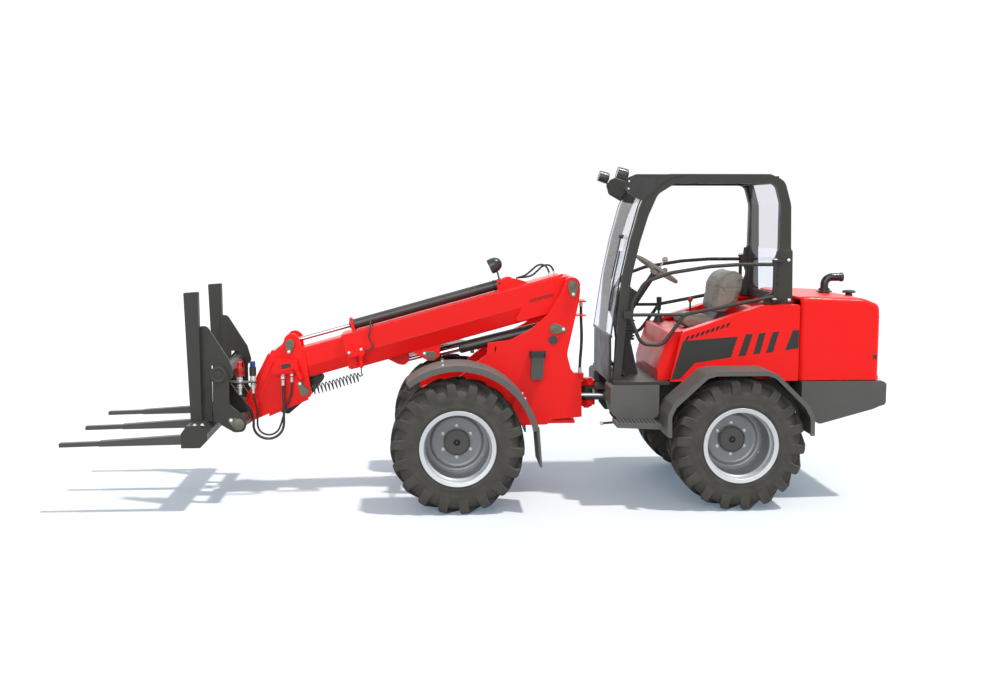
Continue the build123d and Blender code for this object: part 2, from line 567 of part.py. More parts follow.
# ---------------------------------------------------------------- tool carrier and fork
def make_carrier():
    outline = [(-1803, 709, 20), (-1800, 1000, 30), (-1790, 1068, 40), (-1730, 1068, 50), (-1684, 1000, 40),
               (-1684, 768, 40), (-1598, 699, 30), (-1556, 640, 40), (-1575, 565, 40), (-1650, 560, 50),
               (-1747, 618, 40)]
    pieces = both(plate(outline, -CARRIER_HALF, -CARRIER_HALF + 24))
    inner = -HEAD_HALF - 14 - GAP
    pieces.append(bar_y(-1759, 993, 45, -CARRIER_HALF + 2, CARRIER_HALF - 2))
    pieces += both(bar_y(*TILT_PIVOT, 50, -CARRIER_HALF, inner))
    pieces.append(bar_y(*TILT_PIVOT, 28 - PIN_GAP, -CARRIER_HALF - 6, CARRIER_HALF + 6))
    pieces += both(plate([(-1800, 1010, 10), (-1640, 760, 30), (-1568, 640, 20), (-1600, 580, 20), (-1780, 620, 20),
                          (-1800, 700, 10)], inner - 22, inner))
    pieces += both(bar_y(-1759, 993, 62, -CARRIER_HALF - 8, -CARRIER_HALF))
    pieces += both(bar_y(*TILT_PIVOT, 40, -CARRIER_HALF - 12, -CARRIER_HALF))
    pieces.append(block(-1800, -1776, -CARRIER_HALF + 2, CARRIER_HALF - 2, 640, 900))
    x, z = LINK_PIN
    arm = [(-1780, 860, 0), (x - 10, 810, 20), (x + 40, z + 10, 34), (x + 30, z - 36, 34), (x - 30, z - 50, 20),
           (-1780, 690, 0)]
    pieces += both(plate(arm, -46, -30))
    return pieces


def make_fork_frame():
    upright = plate([(-1988, 1602, 6), (-1883, 1609, 6), (-1882, 640, 0), (-1961, 640, 0)], -535, -475)
    hook = plate([(-1885, 1354, 12), (-1835, 1352, 40), (-1681, 1100, 60), (-1648, 980, 40), (-1684, 940, 30),
                  (-1764, 1060, 0), (-1812, 1060, 0), (-1812, 640, 20), (-1884, 640, 0)], -475, -450)
    hook -= bar_y(-1759, 993, 45 + PIN_GAP, -500, -400)
    pieces = both(upright) + both(hook)
    beam = plate([(-2000, 488, 6), (-2000, 595, 6), (-1960, 650, 6), (-1866, 650, 20), (-1810, 600, 20),
                  (-1812, 541, 10), (-1864, 488, 10)], -720, 720)
    pieces.append(beam)
    return pieces


TINES_Y = (-686, 0, 686)


def make_tines():
    pieces = []
    for y in TINES_Y:
        root = plate([(-2000, 515, 0), (-2000, 581, 0), (-2588, 544, 4), (-2588, 507, 4)], y - 32, y + 32)
        tip = plate([(-2580, 509, 0), (-2580, 541, 0), (-2872, 532, 4), (-2872, 502, 4)], y - 24, y + 24)
        pieces += [root.fuse(tip)]
    return pieces


save("tool_carrier", *make_carrier())
save("fork_frame", *make_fork_frame())
save("fork_tines", *make_tines())


# ---------------------------------------------------------------- rear chassis
RAIL_OUT = 300
RAIL = 22
NOSE_HALF = 58


def make_chassis():
    rail = [(1190, 640, 10), (1240, 575, 20), (1500, 575, 20), (1780, 560, 60), (2360, 560, 60), (2560, 640, 60),
            (3120, 640, 10), (3120, FLOOR_Z, 0), (1190, FLOOR_Z, 0)]
    pieces = both(plate(rail, -RAIL_OUT, -RAIL_OUT + RAIL))
    inner = RAIL_OUT - RAIL
    pieces.append(block(1190, 3120, -inner, inner, FLOOR_Z - 16, FLOOR_Z))
    pieces.append(block(2600, 3120, -inner, inner, 640, 660))
    pieces.append(block(1900, 1930, -inner, inner, 680, FLOOR_Z - 16))
    low_lug, high_lug = LUG_HEIGHTS
    for low, high in ((low_lug[1] + GAP, low_lug[1] + GAP + 24), (high_lug[0] - GAP - 24, high_lug[0] - GAP)):
        nose = flat([(PIVOT_X - NOSE_HALF, -NOSE_HALF, 56), (PIVOT_X + 60, -NOSE_HALF, 20), (1190, -78, 0),
                     (1330, -78, 0), (1330, inner, 0), (1190, inner, 0), (PIVOT_X + 60, NOSE_HALF, 20),
                     (PIVOT_X - NOSE_HALF, NOSE_HALF, 56)], low, high)
        pieces.append(nose)
    pieces.append(Pos(PIVOT_X, 0, (low_lug[1] + high_lug[0]) / 2)
                  * Cylinder(46, high_lug[0] - low_lug[1] - 2 * GAP))
    pieces.append(block(1300, 1330, -78, inner, low_lug[1] + GAP, FLOOR_Z - 10))
    x, y, z = STEER_REAR
    for low in (z - STEER_LUG_GAP - 2 - 18, z + STEER_LUG_GAP + 2):
        pieces.append(flat([(x - 26, y - 26, 20), (x - 26, y + 26, 20), (x + 60, y + 60, 0), (x + 60, -RAIL_OUT + 5, 0)],
                           low, low + 18))
    pieces.append(block(x + 50, x + 66, -RAIL_OUT + 5, y + 62, z - 60, FLOOR_Z - 10))
    pieces.append(Pos(x, y, z) * Cylinder(14, 60))
    for y_from in (-RAIL_OUT - 30, RAIL_OUT):
        pieces.append(block(REAR_AXLE_X - 60, REAR_AXLE_X + 60, y_from, y_from + 30, 552, 700))
    whole = pieces[0].fuse(*pieces[1:])
    return whole - Pos(PIVOT_X, 0, 767) * Cylinder(PIN_RADIUS + PIN_GAP, 200)


STEER_BARREL = 24


def make_steering_cylinder():
    """Barrel on the rear chassis and rod towards the front frame, with its own eye."""
    a, b = Vector(*STEER_REAR), Vector(*STEER_FRONT)
    way = (b - a).normalized()
    barrel = bar(a + way * 20, a + way * 400, STEER_BARREL).fuse(Pos(*a) * Cylinder(26, 42))
    barrel -= Pos(*a) * Cylinder(14 + PIN_GAP, 100)
    barrel -= bar(a + way * 70, a + way * 402, 18.5)
    rod = bar(a + way * 190, b - way * 16, 13).fuse(bar(a + way * 190, a + way * 220, 18))
    rod = rod.fuse(Pos(*b) * Cylinder(24, 36))
    return barrel, rod


steer_barrel, steer_rod = make_steering_cylinder()
save("rear_chassis", make_chassis())
save("steering_cylinder_barrel", steer_barrel)
save("steering_cylinder_rod", steer_rod)
save("engine_block", block(2620, 3040, -230, 230, FLOOR_Z, 1380))


# ---------------------------------------------------------------- rear body
BONNET_X = (2586, 3200)
BONNET_TOP = 1560
PANEL = 26
BUMPER_TOP = 918
SIDE_PANEL = [
    (1601, FLOOR_Z + FLOOR, 6), (1678, 1268, 20), (1700, 1300, 20), (2286, 1490, 60), (2578, 1496, 6),
    (2578, FLOOR_Z + FLOOR, 0),
]
FENDER_PROFILE = [
    (1525, 560, 6), (1522, 720, 60), (1560, 800, 40), (1800, 1020, 60), (1870, 1041, 60), (2263, 1041, 60),
    (2330, 1015, 50), (2560, 790, 60), (2608, 700, 60), (2611, 562, 6),
]


def make_side_panel():
    panel = plate(SIDE_PANEL, -BODY_HALF, -BODY_HALF + PANEL)
    top = plate([(1700, 1274, 0), (1700, 1300, 0), (2286, 1490, 60), (2578, 1496, 0), (2578, 1470, 0),
                 (2290, 1464, 60)], -BODY_HALF + PANEL - 1, -CAB_HALF - 5)
    panel = panel.fuse(top)
    for i in range(LOUVRES):
        x, z = 1722 + i * 38, 1262 + i * 12.4
        panel -= plate([(x, z, 3), (x + 26, z + 8, 3), (x + 8, z - 28, 3), (x - 18, z - 36, 3)],
                       -BODY_HALF - 1, -BODY_HALF + PANEL + 1)
    return panel - plate(FENDER_PROFILE, -BODY_HALF - 1, -BODY_HALF + PANEL + 1)


LOUVRES = 9
GRILLE_SLOTS = 9
BONNET_HINGE = (2600, 1508)
HINGE_PIN = 6
HINGE_Y = 310


def make_console():
    """Hollow hydraulic and battery housing under the seat, closed on top."""
    outer = [(1530, FLOOR_Z + FLOOR, 0), (1524, 1001, 10), (1547, 1097, 30), (1612, 1290, 30), (2262, 1290, 40),
             (2300, 1455, 30), (2578, 1465, 0), (2578, FLOOR_Z + FLOOR, 0)]
    inner = [(1560, 900, 0), (1552, 1001, 10), (1575, 1090, 30), (1632, 1265, 30), (2282, 1265, 40),
             (2320, 1430, 30), (2553, 1440, 0), (2553, 900, 0)]
    half = 465
    shell = plate(outer, -half, half) - plate(inner, -half + 25, half - 25)
    x, z = BONNET_HINGE
    bracket = plate([(2578, 1430, 0), (x + 12, 1430, 8), (x + 12, z + 12, 12), (x - 12, z + 12, 12),
                     (x - 12, 1465, 4), (2570, 1464, 0), (2570, 1430, 0)], HINGE_Y - 8, HINGE_Y + 8)
    return shell.fuse(*both(bracket)) - bar_y(x, z, HINGE_PIN + PIN_GAP, -HINGE_Y - 20, HINGE_Y + 20)


def make_bonnet():
    front, rear = BONNET_X
    side = [(front, 925, 0), (front, BONNET_TOP - 4, 20), (front + 60, BONNET_TOP, 60), (rear - 130, BONNET_TOP - 18, 120),
            (rear - 6, BONNET_TOP - 66, 60), (rear, 1400, 60), (rear, 925, 0)]
    wall = PANEL
    core = [(front - 1, 924, 0), (front - 1, BONNET_TOP - wall, 0), (front + 60, BONNET_TOP - wall, 60),
            (rear - 140, BONNET_TOP - 18 - wall, 100), (rear - wall - 6, BONNET_TOP - 80 - wall, 50),
            (rear - wall, 1380, 60), (rear - wall, 924, 0)]
    body = plate(side, -BODY_HALF, BODY_HALF)
    long_edges = body.edges().filter_by(lambda e: abs(abs(e.center().Y) - BODY_HALF) < 1 and e.center().Z > 1380)
    body = fillet(long_edges, 42)
    body -= fillet(plate(core, -BODY_HALF + wall, BODY_HALF - wall).edges().filter_by(
        lambda e: abs(abs(e.center().Y) - BODY_HALF + wall) < 1 and e.center().Z > 1380), 30)
    for i in range(GRILLE_SLOTS):
        y = (i - (GRILLE_SLOTS - 1) / 2) * 96
        body -= block(rear - wall - 20, rear + 20, y - 38, y + 38, 1206, 1226)
        body -= block(rear - wall - 20, rear + 20, y - 38, y + 38, 1246, 1266)
    x, z = BONNET_HINGE
    for y in (HINGE_Y + 20, -HINGE_Y - 20):
        lug = plate([(x - 12, BONNET_TOP - wall + 4, 0), (x - 12, z - 12, 12), (x + 12, z - 12, 12),
                     (x + 40, BONNET_TOP - wall + 4, 0)], y - 5, y + 5)
        body = body.fuse(lug, bar_y(x, z, HINGE_PIN, min(y, y * 0.9), max(y, y * 0.9)))
    return body


def make_exhaust():
    tail = pipe([(EXHAUST_X, 0, 1500), (EXHAUST_X, 0, 1672), (3098, 0, 1672)], [60], EXHAUST_RADIUS)
    return tail.fuse(Pos(EXHAUST_X, 0, 1565) * Cylinder(EXHAUST_RADIUS + 12, 40))


def make_bumper():
    outline = [(2600, FLOOR_Z, 0), (2600, 760, 0), (2732, 592, 40), (3152, 706, 20), (3205, 729, 20), (3250, 740, 30),
               (3250, 900, 12), (3225, BUMPER_TOP, 10), (2600, BUMPER_TOP, 0)]
    solid = plate(outline, -600, 600)
    inner = RAIL_OUT
    solid -= block(2590, 3120, -inner, inner, 560, BUMPER_TOP + 1)
    solid -= block(3160, 3260, -HITCH_HALF, HITCH_HALF, 770, 890)
    recess = plate([(3236, 752, 0), (3256, 752, 0), (3256, 822, 0), (3236, 822, 0)], -570, -470)
    for shape in both(recess):
        solid -= shape
    return solid


HITCH_HALF = 70


def make_tail_lamp():
    """Lamp in its recess, with a lens that stands a little proud."""
    body = block(3236, 3256, -568, -472, 754, 820)
    return fillet(body.edges().filter_by(Axis.X), 12)


def make_rear_fender(side):
    outer = FENDER_PROFILE
    skin = 14
    inner = [(1539, 559, 0), (1537, 716, 50), (1572, 790, 36), (1806, 1004, 50), (1874, 1026, 50), (2258, 1026, 50),
             (2321, 1002, 40), (2548, 781, 50), (2594, 696, 50), (2597, 559, 0)]
    lip_in = [(1556, 559, 0), (1554, 712, 50), (1586, 780, 36), (1814, 990, 50), (1880, 1008, 50), (2252, 1008, 50),
              (2312, 988, 40), (2536, 771, 50), (2578, 690, 50), (2580, 559, 0)]
    cover = plate(outer, -FENDER_HALF - 8, -BODY_HALF) - plate(inner, -FENDER_HALF + 6, -BODY_HALF + 1)
    cover -= plate(lip_in, -FENDER_HALF - 9, -FENDER_HALF + 7)
    wall = plate(outer, -BODY_HALF, -BODY_HALF + skin) - plate(
        [(1572, 559, 0), (1572, 710, 50), (1604, 790, 36), (1824, 996, 50), (1890, 1012, 50), (2248, 1012, 50),
         (2310, 996, 40), (2536, 775, 50), (2572, 694, 50), (2572, 559, 0)], -BODY_HALF - 1, -BODY_HALF + skin + 1)
    shape = cover.fuse(wall)
    return shape if side < 0 else mirror(shape, about=Plane.XZ)


save("side_panel_left", make_side_panel())
save("side_panel_right", mirror(make_side_panel(), about=Plane.XZ))
save("seat_console", make_console())
EXHAUST_X = 2950
EXHAUST_RADIUS = 32
bonnet = make_bonnet() - Pos(EXHAUST_X, 0, BONNET_TOP) * Cylinder(EXHAUST_RADIUS + PIN_GAP, 200)
save("bonnet", bonnet)
save("exhaust_pipe", make_exhaust() - bonnet)
save("rear_counterweight", make_bumper(), *both(make_tail_lamp()))
save("rear_left_fender", make_rear_fender(-1))
save("rear_right_fender", make_rear_fender(1))


# ---------------------------------------------------------------- cab
POST = 56
CAB_FRAME = [
    (1188, FLOOR_Z + FLOOR, 0), (1221, 1343, 400), (1247, 1682, 900), (1311, 1980, 900), (1382, 2240, 500),
    (1460, 2400, 120), (1580, ROOF_Z, 90), (2360, ROOF_Z, 60), (2470, 2420, 90), (2522, 2240, 200), (2530, 1905, 0),
    (2440, 1905, 0), (2444, 2240, 120), (2400, 2400, 60), (1640, 2400, 120), (1510, 2320, 100), (1440, 2160, 200),
    (1379, 1960, 600), (1315, 1681, 900), (1282, 1343, 400), (1246, FLOOR_Z + FLOOR, 0),
]
POST_FOOT = [(2437, 1905, 0), (2530, 1905, 0), (2544, 1500, 10), (2337, 1500, 10), (2337, 1556, 20),
             (2392, 1579, 20), (2438, 1690, 60), (2396, 1806, 20)]


def make_cab_frame():
    side = plate(CAB_FRAME, -CAB_HALF, -CAB_HALF + POST)
    foot = plate(POST_FOOT, -CAB_HALF, -CAB_HALF + 30)
    for z in (1520, 1818):
        lug = flat([(GATE_HINGE_X - 22, -GATE_Y - 22, 20), (GATE_HINGE_X - 22, -GATE_Y + 14, 10),
                    (GATE_HINGE_X + 20, -CAB_HALF + 5, 0), (2500, -CAB_HALF + 5, 0), (GATE_HINGE_X + 24, -GATE_Y - 22, 20)],
                   z, z + 14)
        foot = foot.fuse(lug - Pos(GATE_HINGE_X, -GATE_Y, z) * Cylinder(14 + PIN_GAP, 60))
    pieces = both(side) + both(foot)
    inner = CAB_HALF - POST
    pieces.append(block(1560, 1640, -inner, inner, 2405, ROOF_Z - 8))
    pieces.append(block(2360, 2440, -inner, inner, 2400, ROOF_Z - 14))
    pieces.append(block(2450, 2520, -CAB_HALF + 25, CAB_HALF - 25, 1500, 1555))
    return pieces


def make_roof():
    inner = CAB_HALF - POST
    return block(1640, 2360, -inner, inner, 2425, 2462)


GLASS = 8
GATE_HINGE_X = 2400
GATE_Y = CAB_HALF + 34
GLASS_CURVE = [(1176, 1250), (1209, 1480), (1240, 1690), (1302, 1980), (1372, 2240), (1448, 2400)]


def make_windscreen():
    outer = [(x - 6, z, 400) for x, z in GLASS_CURVE]
    inner = [(x - 6 - GLASS, z, 400) for x, z in reversed(GLASS_CURVE)]
    outer[0] = (outer[0][0], outer[0][1], 0)
    outer[-1] = (outer[-1][0], outer[-1][1], 0)
    inner[0] = (inner[0][0], inner[0][1], 0)
    inner[-1] = (inner[-1][0], inner[-1][1], 0)
    return plate(outer + inner, -CAB_HALF + 6, CAB_HALF - 6)


def make_rear_window():
    inner = CAB_HALF - POST
    return plate([(2448, 1560, 0), (2456, 1560, 0), (2456, 2240, 0), (2440, 2400, 0), (2432, 2400, 0),
                  (2448, 2240, 0)], -inner, inner)


def make_cab_floor():
    """Floor, firewall, toe board and the housings that carry the boarding steps."""
    floor = block(1180, 1524, -CAB_HALF, CAB_HALF, FLOOR_Z, FLOOR_Z + FLOOR)
    wing = block(1180, 1600, -BODY_HALF, BODY_HALF, FLOOR_Z, FLOOR_Z + FLOOR)
    wall = plate([(1164, FLOOR_Z + FLOOR, 0), (1164, 1250, 0), (1180, 1250, 0), (1186, FLOOR_Z + FLOOR, 0)],
                 -CAB_HALF + POST, CAB_HALF - POST)
    return [floor, wing, wall.fuse(block(1164, 1200, -CAB_HALF + POST, CAB_HALF - POST, FLOOR_Z, FLOOR_Z + FLOOR))]


def make_step_housing(side):
    outline = [(1150, 880, 20), (1168, FLOOR_Z, 0), (1516, FLOOR_Z, 0), (1516, 690, 20), (1500, 660, 20),
               (1180, 660, 40), (1150, 760, 30)]
    body = plate(outline, -600, -RAIL_OUT - 1)
    tread = plate([(1168, 650, 4), (1172, 612, 8), (1500, 596, 8), (1508, 640, 4)], -760, -560)
    hanger = block(1200, 1480, -600, -560, 630, 670)
    shape = body.fuse(tread, hanger)
    return shape if side < 0 else mirror(shape, about=Plane.XZ)


def make_dash():
    """Steering column, dashboard and the bellows at its foot."""
    shape = plate([(1240, 1560, 30), (1380, 1600, 30), (1440, 1560, 20), (1400, 1420, 40), (1380, 1180, 40),
                   (1440, FLOOR_Z + FLOOR, 0),
                   (1280, FLOOR_Z + FLOOR, 0), (1290, 1180, 60)], -110, 110)
    return shape


WHEEL_HUB = (1600, 1738)
WHEEL_TILT = 33.3           # steering wheel's axis from vertical
WHEEL_RING = 180


def steering_plane(rise=0):
    a = radians(WHEEL_TILT)
    x, z = WHEEL_HUB
    return Plane(origin=(x + rise * sin(a), 0, z + rise * cos(a)), x_dir=(cos(a), 0, -sin(a)),
                 z_dir=(sin(a), 0, cos(a)))


def make_column():
    low = steering_plane(-420)
    return low * Pos(0, 0, 186.35) * Cylinder(24, 372.7)


def make_steering_wheel():
    ring = steering_plane(0) * Torus(WHEEL_RING, 14)
    hub = steering_plane(-30) * Cylinder(36, 34)
    shape = ring.fuse(hub)
    for angle in (90, 210, 330):
        a = radians(angle)
        start = steering_plane(0) * Pos(WHEEL_RING * cos(a), WHEEL_RING * sin(a), 0)
        stop = steering_plane(-30) * Pos(20 * cos(a), 20 * sin(a), 0)
        shape = shape.fuse(bar(start.position, stop.position, 9))
    knob_at = (steering_plane(0) * Pos(WHEEL_RING * cos(radians(60)), WHEEL_RING * sin(radians(60)), 0)).position
    knob_top = knob_at + steering_plane(0).z_dir * 38
    knob = Pos(*knob_top) * Sphere(22)
    stem = bar(knob_at, knob_top, 7)
    return shape.fuse(knob, stem)


def make_seat():
    cushion = plate([(1752, 1330, 30), (1780, 1395, 40), (2010, 1385, 40), (2040, 1345, 20), (1990, 1290, 10),
                     (1800, 1290, 10)], -230, 230)
    back = plate([(2000, 1400, 20), (2030, 1640, 60), (2080, 1720, 60), (2180, 1755, 50), (2250, 1710, 50),
                  (2243, 1580, 80), (2205, 1478, 40), (2100, 1400, 40)], -225, 225)
    pan = plate([(1990, 1330, 10), (1995, 1420, 10), (2120, 1470, 20), (2140, 1440, 20), (2060, 1310, 10)], -150, 150)
    shape = cushion.fuse(back, pan)
    return shape


def make_gate(side):
    """Low tube gate that hangs on the rear post and latches on the front one."""
    y = -GATE_Y
    loop = [(GATE_HINGE_X, y, 1797), (2133, y, 1797), (1906, y, 1782), (1604, y, 1735), (1416, y, 1668), (1320, y, 1511),
            (1314, y, 1383), (1392, y, 1201), (1552, y, 1190), (1668, y, 1350), (1720, y, 1424), (1990, y, 1474),
            (GATE_HINGE_X, y, 1556)]
    radii = [400, 400, 300, 120, 120, 90, 90, 90, 110, 60, 200]
    tube = pipe(loop, radii, 14)
    bar_low = bar((1312, y, 1421), (1712, y, 1421), 13)
    latch = block(1256, 1312, y - 18, y + 18, 1396, 1446)
    hinge = bar((GATE_HINGE_X, y, 1510), (GATE_HINGE_X, y, 1842), 14)
    shape = tube.fuse(bar_low, latch, hinge)
    return shape if side < 0 else mirror(shape, about=Plane.XZ)


def make_roof_lamp():
    cup = Plane(origin=(1235, -CAB_HALF - 4, 2470), z_dir=(-0.8, 0, 0.25)) * Cone(46, 30, 70)
    stay = bar((1245, -CAB_HALF - 4, 2460), (1290, -CAB_HALF - 4, 2380), 9)
    ear = plate([(1262, 2400, 30), (1290, 2445, 20), (1500, 2445, 10), (1470, 2340, 10), (1385, 2270, 10),
                 (1280, 2330, 30)], -CAB_HALF - 8, -CAB_HALF)
    shape = cup.fuse(stay, ear)
    return shape


def make_boom_lamp():
    """Round working lamp on a post that stands on the outer boom's ram ear."""
    y = -50 - EAR / 2
    (foot_x, foot_z), (top_x, top_z) = at_boom(519, 176), at_boom(519, 262)
    x, z = at_boom(519, 300)
    cup = Plane(origin=(x, y, z), z_dir=(0.9, 0, 0.43)) * Cone(58, 26, 90)
    return bar((foot_x, y, foot_z), (top_x, y, top_z), EAR / 2).fuse(cup)


def make_hitch():
    """Tow jaw: two plates on a back plate, with a dropped pin and its ring."""
    back = block(3160, 3176, -HITCH_HALF + 1, HITCH_HALF - 1, 771, 889)
    jaw = flat([(3170, -58, 0), (3170, 58, 0), (3225, 58, 20), (REAR_END_X, 30, 24), (REAR_END_X, -30, 24),
                (3225, -58, 20)], 784, 800)
    pin = Pos(3234, 0, 822) * Cylinder(13, 92)
    head = Pos(3234, 0, 872) * Cylinder(20, 8)
    return [back, jaw, Pos(0, 0, 60) * jaw, pin, head]


def make_levers():
    """Joystick on its bellows and a knobbed lever, on the console beside the seat."""
    x, y, z = JOYSTICK
    bellows = Pos(x, y, 1290 + 32) * Cone(46, 20, 64)
    grip = Pos(x + 4, y, 1440) * Cone(16, 23, 110)
    shape = bellows.fuse(bar((x, y, 1340), (x + 4, y, 1400), 9), fillet(grip.edges().sort_by(Axis.Z)[-1:], 10))
    x, y, z = SIDE_LEVER
    return [shape, bar((x, y, 1290), (x, y, 1460), 8).fuse(Pos(x, y, 1472) * Sphere(21))]


JOYSTICK = (1686, 345, 1290)
SIDE_LEVER = (1945, 330, 1290)


save("cab_frame", *make_cab_frame())
save("roof_panel", make_roof())
save("windscreen", make_windscreen())
save("rear_window", make_rear_window())
save("cab_floor", *make_cab_floor())
save("step_housing_left", make_step_housing(-1))
save("step_housing_right", make_step_housing(1))
save("dashboard", make_dash(), make_column())
save("steering_wheel", make_steering_wheel())
save("driver_seat", make_seat())
save("gate_left", make_gate(-1))
save("gate_right", make_gate(1))
save("boom_lamp", make_boom_lamp())
save("roof_lamps", *both(make_roof_lamp()))
save("tow_hitch", *make_hitch())
save("control_levers", *make_levers())


# ---------------------------------------------------------------- hoses and the spiral cable
COUPLERS = ((-1632, -300), (-1540, -250))   # the tool's quick couplers, in plan


def make_couplers():
    """Two quick couplers that stand on a tab of the tool carrier, and the tab."""
    (red_x, red_y), (blue_x, blue_y) = COUPLERS
    tab = flat([(-1790, -182, 0), (-1745, -182, 0), (blue_x, blue_y + 34, 10), (blue_x + 30, blue_y + 20, 20),
                (blue_x + 30, blue_y - 34, 20), (red_x - 20, red_y - 34, 20), (-1790, -215, 10)], 900, 908)
    pieces = [tab]
    for x, y in COUPLERS:
        pieces += [Pos(x, y, 876) * Cylinder(16, 48), Pos(x, y, 930) * Cylinder(21, 44),
                   Pos(x, y, 985) * Cylinder(26, 66), Pos(x, y, 1040) * Cylinder(19, 44)]
    return pieces


def boom_route(rows):
    """Route from (along, up, y) rows on the boom."""
    return [(at_boom(a, b)[0], y, at_boom(a, b)[1]) for a, b, y in rows]


def make_boom_hoses():
    """Two hoses that arch from the ram into the boom's top, and the lead down to the cable's socket."""
    near = boom_route([(429.9, 150, -15), (370, 150, -15), (309, 151, -17), (251, 180, -19), (199, 206, -21),
                       (151, 197, -23), (125, 155, -24), (125, BOOM_TOP + 0.05, -24)])
    far = boom_route([(429.9, 150, 15), (376, 150, 15), (320, 137, 17), (262, 132, 18), (208, 158, 20),
                      (160, 186, 22), (112, 184, 23), (84, 148, 24), (84, BOOM_TOP + 0.05, 24)])
    lead = boom_route([(1560, BOOM_TOP + 0.05, -104), (1560, 124, -106), (1564, 142, -138), (1570, 126, -172),
                       (1582, 84, -186), (1606, 44, -188), (1612, 2, -188), (1592, -34, -188), (1604, -60, -188),
                       (1636, -66, -188), (1667.9, -66, -188)])
    return [hose("hose on the boom, near", near, 16), hose("hose on the boom, far", far, 16),
            hose("lead of the boom's socket", lead, 11)]


def make_frame_hoses():
    """Two hoses down the back of the front frame, from its header plate to the manifold."""
    near = [(985, -96, 1500), (985, -96, 1380), (991, -98, 1255), (990, -97, 1130), (980, -96, 1035), (980, -96, 936.05)]
    far = [(985, -128, 1500), (985, -128, 1365), (994, -130, 1230), (988, -129, 1100), (980, -128, 1020),
           (980, -128, 936.05)]
    return [hose("hose behind the frame, inner", near, 18), hose("hose behind the frame, outer", far, 18)]


def make_tool_hose():
    """Two hoses that hang in a loop from the boom's head to the tool's couplers."""
    (red_x, red_y), (blue_x, blue_y) = COUPLERS
    thick = [(-1322, -184, 905), (-1322, -184, 825), (-1318, -186, 740), (-1319, -190, 640), (-1320, -194, 539),
             (-1351, -200, 487), (-1404, -208, 456), (-1464, -218, 457), (-1517, -229, 487), (-1546, -241, 539),
             (-1541, -254, 600), (-1545, -266, 662), (-1571, -280, 718), (-1607, -292, 766), (red_x, red_y, 806),
             (red_x, red_y, 852)]
    thin = [(-1255, -172, 925), (-1255, -172, 855), (-1266, -171, 785), (-1290, -169, 715), (-1322, -168, 640),
            (-1344, -170, 560), (-1368, -173, 507), (-1410, -178, 481), (-1458, -184, 481), (-1500, -190, 505),
            (-1522, -198, 550), (-1518, -208, 610), (-1516, -220, 670), (-1524, -234, 730), (blue_x, blue_y, 790),
            (blue_x, blue_y, 852)]
    return [hose("tool hose, thick", thick, 20), hose("tool hose, thin", thin, 15)]


def make_spiral_cable():
    """Outer shape of the spiral between its two sockets, with the straight leads at its ends."""
    y = SOCKET_Y
    spiral = [(-707, y, 944), (-800, y, 913), (-905, y, 880), (-1010, y, 850), (-1100, y, 829)]
    turns = hose("spiral cable, outer shape", spiral, 2 * CABLE_RADIUS)
    x, z = at_boom(1700, -80)
    rear = bar((x, y, z - SOCKET_LENGTH), (x, y, 950), 5)
    a, b = 0.42, -0.9075
    plug = Vector(-1226 + a * (SOCKET_LENGTH + 0.1), y, 1003 + b * (SOCKET_LENGTH + 0.1))
    bend = plug + Vector(a, 0, b) * 12
    return turns.fuse(rear, bar(plug, bend, 5), Pos(*bend) * Sphere(5), bar(bend, (-1100, y, 838), 5))


save("tool_couplers", *make_couplers())
save("boom_hoses", *make_boom_hoses())
save("frame_hoses", *make_frame_hoses())
save("tool_hose", *make_tool_hose())
save("spiral_cable", make_spiral_cable())
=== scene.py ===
from math import acos, atan2, cos, hypot, pi, radians, sin
import bmesh
import bpy
from mathutils import Matrix, Vector


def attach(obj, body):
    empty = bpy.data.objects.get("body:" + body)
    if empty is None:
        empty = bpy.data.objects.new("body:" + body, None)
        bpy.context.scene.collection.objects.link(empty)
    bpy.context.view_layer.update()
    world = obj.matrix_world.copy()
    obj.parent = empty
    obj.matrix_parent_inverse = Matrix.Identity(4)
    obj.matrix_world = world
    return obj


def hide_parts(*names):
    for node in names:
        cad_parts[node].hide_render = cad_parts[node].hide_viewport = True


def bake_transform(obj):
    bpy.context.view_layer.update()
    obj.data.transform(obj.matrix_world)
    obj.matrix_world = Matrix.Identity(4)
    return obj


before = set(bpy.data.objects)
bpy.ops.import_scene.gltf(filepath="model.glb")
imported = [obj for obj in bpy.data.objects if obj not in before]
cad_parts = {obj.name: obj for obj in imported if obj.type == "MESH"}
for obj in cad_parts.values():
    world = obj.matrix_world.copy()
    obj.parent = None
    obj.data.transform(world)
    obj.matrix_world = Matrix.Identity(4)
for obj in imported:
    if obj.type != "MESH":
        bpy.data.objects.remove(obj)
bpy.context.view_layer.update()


# ---------------------------------------------------------------- hall floor, lamps and camera
# The machine stands on a plain pale floor. One high lamp gives the shadow, two
# wide soft lamps fill the long sides, and the room itself is white.
def feed(tree, socket, value):
    """Join a socket to another one, or give it a plain value."""
    if isinstance(value, bpy.types.NodeSocket):
        tree.links.new(value, socket)
    else:
        socket.default_value = value


def add_node(tree, kind, **inputs):
    """A node with its inputs, which are plain values or other nodes' sockets."""
    node = tree.nodes.new("ShaderNode" + kind)
    for label, value in inputs.items():
        feed(tree, node.inputs[label.replace("_", " ")], value)
    return node


def work_out(tree, kind, operation, *values):
    """Result of a Math or VectorMath node."""
    node = add_node(tree, kind)
    node.operation = operation
    for socket, value in zip(node.inputs, values):
        feed(tree, socket, value)
    return node.outputs["Value"]


def times(tree, a, b):
    return work_out(tree, "Math", "MULTIPLY", a, b)


def eye_rays(tree):
    """1 for what the eye, a gloss or a clear pane sees, and 0 for light on the machine."""
    rays = add_node(tree, "LightPath").outputs
    both = work_out(tree, "Math", "ADD", rays["Is Camera Ray"], rays["Is Glossy Ray"])
    total = work_out(tree, "Math", "ADD", both, rays["Is Transmission Ray"])
    total.node.use_clamp = True
    return total


